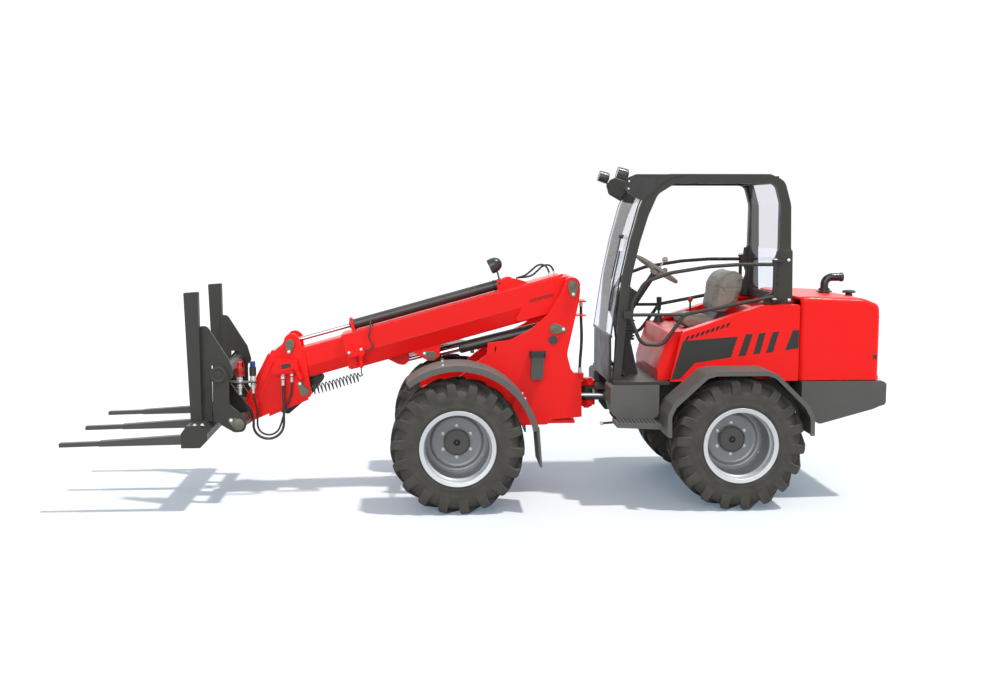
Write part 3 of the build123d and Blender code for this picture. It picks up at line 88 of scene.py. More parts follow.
room = bpy.data.worlds.new("white_room")
room.use_nodes = True
room.node_tree.nodes.clear()
walls = add_node(room.node_tree, "Background", Color=(0.93, 0.96, 1.0, 1), Strength=0.50)
paper = add_node(room.node_tree, "Background", Color=(1, 1, 1, 1), Strength=1.0)
both_walls = add_node(room.node_tree, "MixShader", Fac=eye_rays(room.node_tree))
room.node_tree.links.new(walls.outputs[0], both_walls.inputs[1])
room.node_tree.links.new(paper.outputs[0], both_walls.inputs[2])
room_out = add_node(room.node_tree, "OutputWorld", Surface=both_walls.outputs[0])
bpy.context.scene.world = room

for lamp_name, way, strength, spread, colour in (
    ("high_lamp", (-0.37, 0.20, -1.0), 2.7, 3, (1.0, 0.985, 0.96)),
    ("soft_side_lamp", (0.18, 1.0, -0.42), 1.25, 40, (1.0, 1.0, 1.0)),
    ("soft_back_lamp", (-0.1, -1.0, -0.6), 0.55, 40, (1.0, 1.0, 1.0)),
):
    lamp = bpy.data.lights.new(lamp_name, "SUN")
    lamp.energy, lamp.angle, lamp.color = strength, radians(spread), colour
    holder = bpy.data.objects.new(lamp_name, lamp)
    holder.rotation_euler = Vector(way).to_track_quat("-Z", "Y").to_euler()
    bpy.context.scene.collection.objects.link(holder)

floor_coat = bpy.data.materials.new("floor_coat")
floor_coat.use_nodes = True
tree = floor_coat.node_tree
tree.nodes.clear()
coat_shade = add_node(
    tree, "MixRGB", Fac=eye_rays(tree), Color1=(0.40, 0.385, 0.36, 1), Color2=(0.68, 0.68, 0.68, 1))
matt = add_node(tree, "BsdfDiffuse", Color=coat_shade.outputs[0])
glow = add_node(tree, "Emission", Color=(0.45, 0.72, 1.0, 1), Strength=times(tree, eye_rays(tree), 0.17))
floor_sum = add_node(tree, "AddShader")
tree.links.new(matt.outputs[0], floor_sum.inputs[0])
tree.links.new(glow.outputs[0], floor_sum.inputs[1])
add_node(tree, "OutputMaterial", Surface=floor_sum.outputs[0])

bm = bmesh.new()
bmesh.ops.create_circle(bm, cap_ends=True, radius=60, segments=96)
floor_mesh = bpy.data.meshes.new("hall_floor")
bm.to_mesh(floor_mesh)
bm.free()
floor_mesh.materials.append(floor_coat)
hall_floor = bpy.data.objects.new("hall_floor", floor_mesh)
hall_floor.location.z = -0.0005
bpy.context.scene.collection.objects.link(hall_floor)

lens = bpy.data.cameras.new("side_camera")
lens.lens, lens.sensor_width = 43.45, 36.0
lens.clip_end = 200
camera = bpy.data.objects.new("side_camera", lens)
camera.location = (-0.4319, -9.3488, 2.2145)
camera.rotation_euler = (pi / 2 - 0.1179, 0, -0.0592)
bpy.context.scene.collection.objects.link(camera)
bpy.context.scene.camera = camera
bpy.context.scene.view_settings.view_transform = "Standard"


# ---------------------------------------------------------------- wheels
# Four traction tyres with chevron lugs on welded steel rims, each held to the hub
# by six plated nuts. The rubber is moulded in one, the rim is sprayed silver.
TYRE_RADIUS, HALF_TRACK, REAR_AXLE_X = 490, 700, 2071
LUGS, NUTS, NUT_CIRCLE = 18, 6, 118
RIM_FACE, HUB_FACE = 581, 619
FRONT_AXLE_X = 198  # from the middle of the length, where the shared frame has its origin
TO_ROW = Matrix.Scale(0.001, 4) @ Matrix.Translation((-FRONT_AXLE_X, 0, 0))


def at(x, y, z):
    """Place in metres of a point that is given in the machine's own millimetres."""
    return Vector(((x - FRONT_AXLE_X) / 1000, y / 1000, z / 1000))


def new_group(name, inputs, outputs):
    """An empty shader node group with named inputs and outputs, and its two ends."""
    group = bpy.data.node_groups.new(name, "ShaderNodeTree")
    for label, kind, value in inputs:
        socket = group.interface.new_socket(label, in_out="INPUT", socket_type="NodeSocket" + kind)
        socket.default_value = value
    for label, kind in outputs:
        group.interface.new_socket(label, in_out="OUTPUT", socket_type="NodeSocket" + kind)
    return group, group.nodes.new("NodeGroupInput").outputs, group.nodes.new("NodeGroupOutput").inputs


def noise(tree, scale, detail=3.0, roughness=0.55):
    """Noise that sits still on its piece, measured in metres."""
    place = add_node(tree, "TexCoord").outputs["Object"]
    return add_node(
        tree, "TexNoise", Vector=place, Scale=scale, Detail=detail, Roughness=roughness).outputs["Fac"]


def ramp(tree, value, low, high, to_low=0.0, to_high=1.0):
    return add_node(
        tree, "MapRange", Value=value, From_Min=low, From_Max=high, To_Min=to_low, To_Max=to_high).outputs[0]


patchy_shade, ends, result = new_group(
    "patchy_shade", [("Colour", "Color", (1, 1, 1, 1)), ("Shade", "Color", (0, 0, 0, 1)),
        ("Patch Size", "Float", 5.0), ("Amount", "Float", 0.5)], [("Colour", "Color")])
patches = ramp(patchy_shade, noise(patchy_shade, ends["Patch Size"], 5.0, 0.6), 0.35, 0.7)
mixed = add_node(
    patchy_shade, "MixRGB", Fac=times(patchy_shade, patches, ends["Amount"]), Color1=ends["Colour"],
    Color2=ends["Shade"])
patchy_shade.links.new(mixed.outputs[0], result["Colour"])

settled_dust, ends, result = new_group(
    "settled_dust", [("Colour", "Color", (1, 1, 1, 1)), ("Dust", "Color", (0.3, 0.28, 0.25, 1)),
        ("Amount", "Float", 0.1)], [("Colour", "Color")])
facing = add_node(settled_dust, "SeparateXYZ", Vector=add_node(settled_dust, "TexCoord").outputs["Normal"])
upward = ramp(settled_dust, facing.outputs["Z"], 0.1, 0.95)
clumps = ramp(settled_dust, noise(settled_dust, 14.0, 6.0, 0.7), 0.38, 0.66)
dusty = add_node(
    settled_dust, "MixRGB", Color1=ends["Colour"], Color2=ends["Dust"], Fac=times(settled_dust,
        times(settled_dust, upward, clumps), ends["Amount"]))
settled_dust.links.new(dusty.outputs[0], result["Colour"])

edge_wear, ends, result = new_group(
    "edge_wear", [("Colour", "Color", (1, 1, 1, 1)), ("Bare", "Color", (0.5, 0.5, 0.5, 1)),
        ("Width", "Float", 0.003), ("Amount", "Float", 0.4)], [("Colour", "Color")])
soft_normal = add_node(edge_wear, "Bevel", Radius=ends["Width"])
turned_away = work_out(
    edge_wear, "VectorMath", "DOT_PRODUCT", soft_normal.outputs[0],
    add_node(edge_wear, "NewGeometry").outputs["Normal"])
rubbed = ramp(edge_wear, turned_away, 0.985, 0.85)
rubbed = times(edge_wear, rubbed, ramp(edge_wear, noise(edge_wear, 30.0, 6.0, 0.7), 0.42, 0.62))
worn = add_node(
    edge_wear, "MixRGB", Color1=ends["Colour"], Color2=ends["Bare"],
    Fac=times(edge_wear, rubbed, ends["Amount"]))
edge_wear.links.new(worn.outputs[0], result["Colour"])

gloss_patches, ends, result = new_group(
    "gloss_patches", [("Low", "Float", 0.3), ("High", "Float", 0.5), ("Patch Size", "Float", 9.0)],
    [("Roughness", "Float")])
gloss_patches.links.new(
    ramp(gloss_patches, noise(gloss_patches, ends["Patch Size"], 5.0), 0.3, 0.7, ends["Low"], ends["High"]),
    result["Roughness"])

fine_grain, ends, result = new_group(
    "fine_grain", [("Grain Size", "Float", 600.0), ("Ripple Size", "Float", 25.0),
        ("Ripple Share", "Float", 0.4)], [("Height", "Float")])
grains = noise(fine_grain, ends["Grain Size"], 2.0)
ripples = times(fine_grain, noise(fine_grain, ends["Ripple Size"], 2.0), ends["Ripple Share"])
fine_grain.links.new(work_out(fine_grain, "Math", "ADD", grains, ripples), result["Height"])


def use(tree, group, **inputs):
    """One of the shared effects, placed in a material with its own values."""
    node = add_node(tree, "Group")
    node.node_tree = group
    for label, value in inputs.items():
        feed(tree, node.inputs[label.replace("_", " ")], value)
    return node.outputs[0]


def finish(name, colour, shade, patch=5.0, shading=0.5, gloss=(0.35, 0.5), bare=None, wear=0.3, dust=0.10,
           grain=600.0, ripple=25.0, ripples=0.4, bump=0.12, metal=0.0, coat=0.0, specular=0.5, zones=()):
    """Material of one finish. Zones are (mask maker, colour) for what is sprayed or dyed another colour."""
    made = bpy.data.materials.new(name)
    made.use_nodes = True
    tree = made.node_tree
    shader = tree.nodes["Principled BSDF"]
    seen = use(tree, patchy_shade, Colour=(*colour, 1), Shade=(*shade, 1), Patch_Size=patch, Amount=shading)
    for mask, other in zones:
        seen = add_node(tree, "MixRGB", Fac=mask(tree), Color1=seen, Color2=(*other, 1)).outputs[0]
    if bare:
        seen = use(tree, edge_wear, Colour=seen, Bare=(*bare, 1), Amount=wear)
    seen = use(tree, settled_dust, Colour=seen, Amount=dust)
    tree.links.new(seen, shader.inputs["Base Color"])
    tree.links.new(use(tree, gloss_patches, Low=gloss[0], High=gloss[1]), shader.inputs["Roughness"])
    raised = use(tree, fine_grain, Grain_Size=grain, Ripple_Size=ripple, Ripple_Share=ripples)
    bumps = add_node(tree, "Bump", Height=raised, Strength=bump, Distance=0.001)
    tree.links.new(bumps.outputs[0], shader.inputs["Normal"])
    shader.inputs["Metallic"].default_value = metal
    shader.inputs["Coat Weight"].default_value = coat
    shader.inputs["Coat Roughness"].default_value = 0.12
    shader.inputs["Specular IOR Level"].default_value = specular
    return made


def dress(material, *names):
    """Give CAD pieces their finish."""
    for name in names:
        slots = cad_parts[name].material_slots
        if not len(slots):
            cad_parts[name].data.materials.append(material)
        for place in slots:
            place.material = material


def piece(name, bm, material, body, bevel=0.0):
    """Finish a mesh that was built in the machine's millimetres, and let it ride on its body."""
    bmesh.ops.recalc_face_normals(bm, faces=bm.faces)
    bmesh.ops.transform(bm, matrix=TO_ROW, verts=bm.verts)
    mesh = bpy.data.meshes.new(name)
    bm.to_mesh(mesh)
    bm.free()
    mesh.materials.append(material)
    mesh.shade_smooth()
    mesh.set_sharp_from_angle(angle=radians(35))
    made = bpy.data.objects.new(name, mesh)
    bpy.context.scene.collection.objects.link(made)
    if bevel:
        rounded = made.modifiers.new("soft_edges", "BEVEL")
        rounded.width, rounded.segments, rounded.limit_method = bevel / 1000, 2, "ANGLE"
        rounded.angle_limit = radians(38)
    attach(made, body)
    return made


def turned(bm, origin, axis, rows, segments=28):
    """Lathe work: (distance along the axis, radius) rows about an axis through the origin."""
    axis = Vector(axis).normalized()
    side = Vector((0, 0, 1)) if abs(axis.z) < 0.9 else Vector((1, 0, 0))
    side = (side - axis * side.dot(axis)).normalized()
    other = axis.cross(side)
    rings = []
    for along, radius in rows:
        centre = Vector(origin) + axis * along
        if radius <= 0:
            rings.append([bm.verts.new(centre)])
        else:
            steps = [2 * pi * i / segments for i in range(segments)]
            rings.append([bm.verts.new(centre + (side * cos(a) + other * sin(a)) * radius) for a in steps])
    for low, high in zip(rings, rings[1:]):
        for i in range(segments):
            j = (i + 1) % segments
            if len(low) == 1 and len(high) == 1:
                continue
            if len(low) == 1:
                bm.faces.new((low[0], high[i], high[j]))
            elif len(high) == 1:
                bm.faces.new((low[i], low[j], high[0]))
            else:
                bm.faces.new((low[i], low[j], high[j], high[i]))
    for ring in (rings[0], rings[-1]):
        if len(ring) > 1:
            bm.faces.new(ring)


def lathed(name, material, body, works, bevel=0.0):
    """A piece that is all lathe work: each work is an origin, an axis, rows and a count of sides."""
    bm = bmesh.new()
    for work in works:
        turned(bm, *work)
    piece(name, bm, material, body, bevel)


def add_bolt(bm, origin, axis, size=9):
    """Plated screw on a washer: the size is half the width of its six-sided head."""
    turned(bm, origin, axis, [(0, size * 1.5), (size * 0.25, size * 1.5), (size * 0.3, size * 1.4)], 20)
    turned(
        bm, Vector(origin) + Vector(axis).normalized() * size * 0.2, axis, [(0, size * 1.12),
            (size * 0.75, size * 1.12), (size * 0.95, size * 0.92)], 6)
    turned(
        bm, Vector(origin) + Vector(axis).normalized() * size * 0.9, axis, [(0, size * 0.55),
            (size * 0.35, size * 0.5), (size * 0.42, size * 0.35)], 14)


def ring_zone(x, z, inner, outer):
    """Mask of what lies between two distances from an axis that runs across the machine."""
    def mask(tree):
        spot = add_node(tree, "SeparateXYZ", Vector=add_node(tree, "TexCoord").outputs["Object"])
        flat = add_node(tree, "CombineXYZ", X=spot.outputs["X"], Z=spot.outputs["Z"])
        gap = work_out(tree, "VectorMath", "DISTANCE", flat.outputs[0], at(x, 0, z))
        low = ramp(tree, gap, inner / 1000 - 0.0004, inner / 1000 + 0.0004)
        return times(tree, low, ramp(tree, gap, outer / 1000 + 0.0004, outer / 1000 - 0.0004))
    return mask


tyre_rubber = finish(
    "tyre_rubber", (0.060, 0.058, 0.052), (0.040, 0.039, 0.036), patch=9, shading=0.7, gloss=(0.62, 0.82),
    bare=(0.12, 0.115, 0.10), wear=0.35, dust=0.14, grain=500, ripple=60, ripples=0.5, bump=0.35,
    specular=0.35)
plated = finish(
    "plated_steel", (0.80, 0.80, 0.79), (0.62, 0.62, 0.60), patch=60, gloss=(0.25, 0.4), dust=0.05, grain=900,
    bump=0.08, metal=0.35)
cap_black = finish(
    "cap_black", (0.016, 0.016, 0.016), (0.03, 0.03, 0.03), patch=20, gloss=(0.32, 0.5), dust=0.05, grain=700,
    bump=0.15)

SIDEWALL = [
    (254, 168), (262, 170), (270, 174), (284, 174.5), (292, 177), (300, 179.5), (307, 179.5), (312, 178),
    (345, 179.8), (372, 179.6), (398, 172), (428, 158), (446, 138), (457, 110), (463, 60), (465, 0)]
LUG_RINGS = [  # base (out, radius), top (out, radius), turn in degrees, half widths at base and top
    ((172, 368), (179.6, 372), 0, 44, 40), ((160, 400), (179.7, 405), 0, 40, 36),
    ((148, 430), (178.5, 446), 0, 38, 33), ((136, 445), (172, 474), 0.3, 37, 31),
    ((112, 452), (150, 487), 1.6, 34, 27), ((80, 458), (96, 489.5), 6, 31, 23),
    ((36, 461), (40, 490), 12, 29, 21), ((-18, 462), (-13, 490), 18.5, 26, 19),
]


def build_tyre(x, side):
    bm = bmesh.new()
    rows = [(out, radius) for radius, out in SIDEWALL] + [(-out, radius) for radius, out in reversed(SIDEWALL[:-1])]
    turned(bm, (x, side * HALF_TRACK, TYRE_RADIUS), (0, 1, 0), rows, 144)
    bmesh.ops.delete(bm, geom=[f for f in bm.faces if len(f.verts) > 8], context="FACES_ONLY")
    for half in (-1, 1):
        for lug in range(LUGS):
            start = 2 * pi * (lug + (0.25 if half > 0 else 0.78)) / LUGS
            rings = []
            for base, top, turn, base_width, top_width in LUG_RINGS:
                ring = []
                corners = ((base, -base_width), (top, -top_width), (top, top_width), (base, base_width))
                for (out, radius), reach in corners:
                    angle = start + radians(turn) + reach / radius
                    ring.append(
                        bm.verts.new((x + radius * cos(angle), side * HALF_TRACK + half * out,
                                TYRE_RADIUS + radius * sin(angle))))
                rings.append(ring)
            for low, high in zip(rings, rings[1:]):
                for i in range(4):
                    bm.faces.new((low[i], low[(i + 1) % 4], high[(i + 1) % 4], high[i]))
            bm.faces.new(rings[0])
            bm.faces.new(rings[-1])
    return bm


for wheel, wheel_x, side in (("front_left", 0, -1), ("front_right", 0, 1),
                             ("rear_left", REAR_AXLE_X, -1), ("rear_right", REAR_AXLE_X, 1)):
    body = "wheel_" + wheel
    tyre = piece(wheel + "_lugged_tyre", build_tyre(wheel_x, side), tyre_rubber, body, 3.5)
    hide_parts(wheel + "_tyre")
    dress(
        finish(wheel + "_rim_silver", (0.60, 0.63, 0.66), (0.50, 0.53, 0.56), patch=8, gloss=(0.3, 0.42),
            bare=(0.75, 0.75, 0.75), dust=0.08, bump=0.06, metal=0.25, coat=0.2,
            zones=[(ring_zone(wheel_x, TYRE_RADIUS, -9, 233.4), (0.24, 0.25, 0.26)),
                (ring_zone(wheel_x, TYRE_RADIUS, -9, 98.6), (0.062, 0.061, 0.056))]), wheel + "_rim")
    bm = bmesh.new()
    for i in range(NUTS):
        angle = i * 2 * pi / NUTS
        spot = (wheel_x + NUT_CIRCLE * sin(angle), side * RIM_FACE, TYRE_RADIUS + NUT_CIRCLE * cos(angle))
        add_bolt(bm, spot, (0, side, 0), 8.5)
    valve = (wheel_x + 196, side * 592, TYRE_RADIUS - 96)
    turned(bm, valve, (0, side, 0), [(0, 6), (10, 6), (11, 4), (34, 4), (35, 5.5), (46, 5.5), (48, 4)], 12)
    piece(wheel + "_nuts", bm, plated, body)
    lathed(wheel + "_hub_plug", cap_black, body, [
        ((wheel_x, side * HUB_FACE, TYRE_RADIUS), (0, side, 0), [(0, 26), (3, 26), (4, 21), (12, 20), (18, 15),
             (21, 8), (22, 0)], 32),
        ((wheel_x, side * HUB_FACE, TYRE_RADIUS), (0, side, 0),
         [(0, 97), (1.5, 97), (2, 94), (2, 90), (0.6, 88)], 64),
    ])


# ---------------------------------------------------------------- axles, front frame and its mudguards
# Cast axles in grey primer carry a welded red frame of two thick side plates. Every
# pin is locked by an olive keeper and one plated screw. The mudguards are moulded.
FRAME_FACE, GUARD_RADIUS = 285, 572
BOOM_PIVOT, CYLINDER_BASE = (898, 1630), (761, 1300)
HANDS = (("left", -1), ("right", 1))
axle_grey = finish(
    "axle_grey", (0.050, 0.050, 0.048), (0.034, 0.034, 0.032), patch=12, gloss=(0.5, 0.68),
    bare=(0.10, 0.10, 0.09), dust=0.16, grain=350, bump=0.4)
red_enamel = finish(
    "red_enamel", (0.93, 0.0100, 0.0085), (0.84, 0.0085, 0.0075), patch=2.2, shading=0.3, gloss=(0.30, 0.40),
    bare=(0.93, 0.06, 0.05), wear=0.25, dust=0.012, grain=420, ripple=16, ripples=0.6, bump=0.03, coat=0.08,
    specular=0.2)
guard_plastic = finish(
    "guard_plastic", (0.098, 0.099, 0.093), (0.078, 0.079, 0.075), patch=7, gloss=(0.5, 0.66),
    bare=(0.16, 0.16, 0.15), wear=0.5, dust=0.12, grain=900, bump=0.4)
keeper_olive = finish(
    "keeper_olive", (0.135, 0.135, 0.095), (0.10, 0.10, 0.07), patch=40, gloss=(0.35, 0.5),
    bare=(0.3, 0.3, 0.25), wear=0.5, dust=0.08, metal=0.3, bump=0.15)
dress(axle_grey, "front_axle", "rear_axle")
dress(red_enamel, "front_frame")
dress(guard_plastic, "front_left_fender", "front_right_fender")


def pear(x, z, radius, tail_x, tail_z, tail_radius, steps=14):
    """Outline of a keeper: two arcs and the straight sides that touch both."""
    gap = hypot(tail_x - x, tail_z - z)
    way = atan2(tail_z - z, tail_x - x)
    open_angle = acos((radius - tail_radius) / gap)
    points = []
    for cx, cz, r, start, stop in ((x, z, radius, way + open_angle, way + 2 * pi - open_angle),
                                   (tail_x, tail_z, tail_radius, way - open_angle, way + open_angle)):
        for i in range(steps + 1):
            a = start + (stop - start) * i / steps
            points.append((cx + r * cos(a), cz + r * sin(a)))
    return points


def add_plate(bm, outline, low, high):
    """Flat plate with a side-view outline, between two values of y."""
    low, high = sorted((low, high))
    near = [bm.verts.new((x, low, z)) for x, z in outline]
    far = [bm.verts.new((x, high, z)) for x, z in outline]
    bm.faces.new(near)
    bm.faces.new(list(reversed(far)))
    for i in range(len(outline)):
        j = (i + 1) % len(outline)
        bm.faces.new((near[i], far[i], far[j], near[j]))


def flat_cut(name, material, body, plates, bevel=0.0):
    """A piece that is all flat plate: each plate is an outline and two values of y."""
    bm = bmesh.new()
    for plate in plates:
        add_plate(bm, *plate)
    piece(name, bm, material, body, bevel)


def keeper(name, spots, body, face, thickness=15.5, side=-1):
    """Pin keepers with their screws: each spot is the pin, its radius, the tail and its radius."""
    plates, screws = bmesh.new(), bmesh.new()
    for x, z, radius, tail_x, tail_z, tail_radius in spots:
        add_plate(
            plates, pear(x, z, radius, tail_x, tail_z, tail_radius), side * face, side * (face + thickness))
        turned(
            plates, (x, side * (face + thickness), z), (0, side, 0), [(-1, radius * 0.62), (2, radius * 0.62),
                (3, radius * 0.58), (3, radius * 0.2), (1.5, radius * 0.16)], 32)
        add_bolt(screws, (tail_x, side * (face + thickness - 0.5), tail_z), (0, side, 0), 8)
    piece(name, plates, keeper_olive, body, 2)
    piece(name + "_screws", screws, plated, body)


for hand, side in HANDS:
    keeper(
        "frame_keepers_" + hand, [(*BOOM_PIVOT, 39.5, 902, 1565, 21.5),
            (*CYLINDER_BASE, 39.5, 827, 1296, 21.5)], "front_frame_body", FRAME_FACE, side=side)
    lathed("service_hole_ring_" + hand, axle_grey, "front_frame_body", [
        ((750, side * (FRAME_FACE - 0.5), 1211), (0, side, 0), [(0, 36), (3, 35.5), (3.5, 33), (3.5, 29.5),
             (-12, 29.5)], 36),
    ], 0.6)
    bm = bmesh.new()
    for angle in (35, 100):
        x, z = GUARD_RADIUS * cos(radians(angle)), 500 + GUARD_RADIUS * sin(radians(angle))
        for y in (560, 800):
            add_bolt(bm, (1.048 * x, side * y, 500 + 1.046 * (z - 500)), (x, 0, z - 500), 7)
    piece("mudguard_screws_" + hand, bm, plated, "front_frame_body")

filler_grey = finish(
    "filler_grey", (0.062, 0.062, 0.060), (0.05, 0.05, 0.048), patch=15, gloss=(0.4, 0.55),
    bare=(0.14, 0.14, 0.13), bump=0.25, zones=[(lambda tree: ramp(tree, add_node(tree, "SeparateXYZ",
                    Vector=add_node(tree, "TexCoord").outputs["Object"]).outputs["Z"], 1.0845, 1.0855),
            (0.014, 0.014, 0.014))])
dress(filler_grey, "filler_neck")
bm = bmesh.new()
for i in range(9):
    x = 574 + i * 13.5
    add_plate(bm, [(x, 1090), (x + 5, 1090), (x + 5, 1127), (x, 1127)], -FRAME_FACE - 64.5, -FRAME_FACE - 61)
piece("filler_cap_ribs", bm, cap_black, "front_frame_body", 1.2)


# ---------------------------------------------------------------- outer boom
# Pressed and welded red box with a folded crease, doubler plates round its pivot
# and ears for the ram, the lift and levelling cylinders, welded on all round.
LIFT_EYE, LEVEL_EYE = (-177, 1080), (-402, 1018)
BOOM_COS, BOOM_SIN = cos(radians(15.26)), sin(radians(15.26))


def on_boom(along, up):
    """Side-view place from its distance along and above the parked boom's pivot line."""
    return (
        BOOM_PIVOT[0] - along * BOOM_COS - up * BOOM_SIN, BOOM_PIVOT[1] - along * BOOM_SIN + up * BOOM_COS)


dark_enamel = finish(
    "dark_enamel", (0.038, 0.038, 0.034), (0.030, 0.030, 0.027), patch=4, gloss=(0.38, 0.52),
    bare=(0.11, 0.11, 0.10), wear=0.5, dust=0.05, grain=500, bump=0.1, specular=0.3)
# A darker copy of the red enamel: painted shade for the floor of the boom's ribbed slot.
slot_shade_red = finish(
    "slot_shade_red", (0.24, 0.010, 0.009), (0.18, 0.008, 0.007), patch=30, gloss=(0.45, 0.6), bump=0.1)
weld_red = finish(
    "weld_red", (0.55, 0.010, 0.009), (0.42, 0.008, 0.007), patch=90, gloss=(0.35, 0.5), bump=0.5, grain=260)
dress(red_enamel, "outer_boom", "inner_boom")
for hand, side in HANDS:
    # The slot floor is red sheet like the boom; its dark red is painted shade between the ribs.
    flat_cut("boom_slot_shaded_floor_" + hand, slot_shade_red, "boom", [
        ([on_boom(a, u) for a, u in ((148, -29), (342, -29), (342, -53), (148, -53))], side * 149.5,
         side * 152.5),
    ])
    bm = bmesh.new()
    for i in range(13):
        a = 152 + i * 14.6
        add_plate(
            bm, [on_boom(a, -30), on_boom(a + 6, -30), on_boom(a + 11, -52), on_boom(a + 5, -52)], side * 150,
            side * 157)
    piece("boom_slot_ribs_" + hand, bm, red_enamel, "boom", 0.8)
    bm = bmesh.new()
    for start, up in ((560, 88), (510, -69)):
        for i in range((1745 - start) // 16):
            if i % 4 == 3 and up > 0:
                continue
            a = start + i * 16
            bead = [on_boom(a, up - 3), on_boom(a + 14, up - 3), on_boom(a + 14, up + 3), on_boom(a, up + 3)]
            add_plate(bm, bead, side * 149.4, side * 152)
    piece("boom_weld_beads_" + hand, bm, weld_red, "boom", 1.4)
bm = bmesh.new()
for a, u in ((1690, -45), (1786, -45)):
    x, z = on_boom(a, u)
    add_bolt(bm, (x, -207.5, z), (0, -1, 0), 7)
piece("boom_collar_screws", bm, plated, "boom")
for name, eye, tail, y_face, side in (("lift_eye", LIFT_EYE, (-235, 1097), 124, -1),
                                      ("level_eye", LEVEL_EYE, (-462, 1034), 132, 1)):
    keeper(name + "_keeper", [(*eye, 34, *tail, 19)], "boom", y_face, 10, side=side)


# ---------------------------------------------------------------- telescope ram on top of the boom
# Hydraulic ram: a charcoal barrel on a pin, a black screwed gland and a chromed rod
# that pushes the boom's inner section. A round working lamp stands beside it.
ram_charcoal = finish(
    "ram_charcoal", (0.030, 0.030, 0.030), (0.022, 0.022, 0.022), patch=8, gloss=(0.34, 0.48),
    bare=(0.1, 0.1, 0.1), wear=0.4, dust=0.07, bump=0.1, coat=0.15)
chromed = finish(
    "chromed_rod", (0.46, 0.47, 0.49), (0.38, 0.39, 0.41), patch=30, gloss=(0.08, 0.17), dust=0.03, grain=1200,
    ripple=300, bump=0.03, metal=1.0)
dress(ram_charcoal, "telescope_barrel")
dress(chromed, "telescope_rod")
ram_way = (-BOOM_COS, 0, -BOOM_SIN)


def on_boom3(along, up, y):
    x, z = on_boom(along, up)
    return x, y, z


lathed("ram_gland", cap_black, "boom", [
    (on_boom3(1732, 140, 0), ram_way, [(-34, 42), (-30, 46), (-4, 46), (0, 42), (3, 30), (6, 26), (8, 22),
         (8, 17.5)], 40),
    (on_boom3(560, 140, 0), ram_way, [(0, 41), (2, 43), (12, 43), (14, 41)], 40),
], 0.8)
lamp_black = finish(
    "lamp_black", (0.013, 0.013, 0.013), (0.02, 0.02, 0.02), patch=25, gloss=(0.22, 0.36),
    bare=(0.06, 0.06, 0.06), dust=0.08, bump=0.08, coat=0.2)
clear_lens = finish(
    "lamp_lens", (0.62, 0.64, 0.66), (0.45, 0.47, 0.5), patch=80, gloss=(0.06, 0.14), dust=0.04, grain=220,
    ripple=90, bump=0.25, metal=0.45, coat=0.8)
dress(lamp_black, "boom_lamp")
bm = bmesh.new()
x, z = on_boom(519, 300)
way = Vector((-0.9, 0, -0.43)).normalized()
mouth = Vector((x, -57, z)) + way * 45
turned(bm, mouth, way, [(-2, 50), (0, 51), (2, 48), (3.4, 30), (4, 0)], 40)
piece("boom_lamp_lens", bm, clear_lens, "boom")
bm = bmesh.new()
turned(
    bm, (x, -57, z), way, [(-53, 0), (-51, 16), (-46, 30), (-34, 44), (-14, 55), (14, 60), (38, 60.5),
        (40, 58)], 40)
turned(bm, mouth, way, [(-6, 57.2), (-6, 58.6), (4, 58.6), (5, 57), (5, 51.5), (1, 51)], 40)
x, z = on_boom(519, 176)
add_bolt(bm, (x, -66, z - 26), (0, -1, 0), 7)
piece("boom_lamp_rim", bm, lamp_black, "boom")


# ---------------------------------------------------------------- boom head, tilt lever and link
# The inner boom ends in two red cheeks that hold the tilt lever and the carrier's
# lower pin. Lever and link are dark cast arms; a bolted bracket holds the hose nuts.
dress(dark_enamel, "tilt_lever", "tilt_link")
HEAD_FACE = 140
NUT_THICK, NUT_THIN = (-1322, -184), (-1255, -172)  # where the tool hoses leave the head
for hand, side in HANDS:
    keeper(
        "head_keepers_" + hand, [(-1164, 809, 34, -1196, 872, 17)], "boom_extension", HEAD_FACE + 14, 8,
        side=side)
    x, z = on_boom(2206, 140)
    keeper(
        "ram_eye_keeper_" + hand, [(x, z, 34, x - 8, z - 64, 17)], "boom_extension", HEAD_FACE + 13, 9,
        side=side)
    flat_cut("head_flanges_" + hand, red_enamel, "boom_extension", [
        ([(-1557, 795), (-1407, 1114), (-1372, 1088), (-1519, 776)], side * (HEAD_FACE - 0.5),
         side * (HEAD_FACE + 7)),
        ([(-1440, 616), (-1132, 746), (-1140, 768), (-1436, 643)], side * (HEAD_FACE - 0.5),
         side * (HEAD_FACE + 6)),
    ], 2.5)
flat_cut("hose_bracket", red_enamel, "boom_extension", [
    ([(-1388, 1062), (-1352, 1084), (-1212, 1058), (-1204, 968), (-1378, 944)], -211, -206),
    ([(-1388, 1062), (-1382, 1066), (-1372, 950), (-1378, 944)], -206, -141),
], 3)
# A thin black sheet on the bracket's outer face: painted shade where the bracket's window looks into the dark.
flat_cut("hose_bracket_painted_shade", cap_black, "boom_extension", [
    ([(-1330, 1042), (-1228, 1030), (-1226, 984), (-1326, 984)], -212.2, -210.5),
], 2)
lathed("head_hose_nuts", plated, "boom_extension", [
    ((*NUT_THICK, 960), (0, 0, -1), [(0, 15), (0, 18), (14, 18), (14, 15.5), (26, 15.5), (26, 19), (44, 19),
         (46, 15)], 6),
    ((*NUT_THIN, 975), (0, 0, -1), [(0, 12), (0, 15), (12, 15), (12, 12.5), (22, 12.5), (22, 16), (38, 16),
         (40, 12)], 6),
    ((*NUT_THICK, 1030), (0, 0, 1), [(0, 12), (0, 19), (14, 19), (14, 13), (22, 13), (22, 17), (34, 17),
         (36, 12)], 6),
], 0.6)


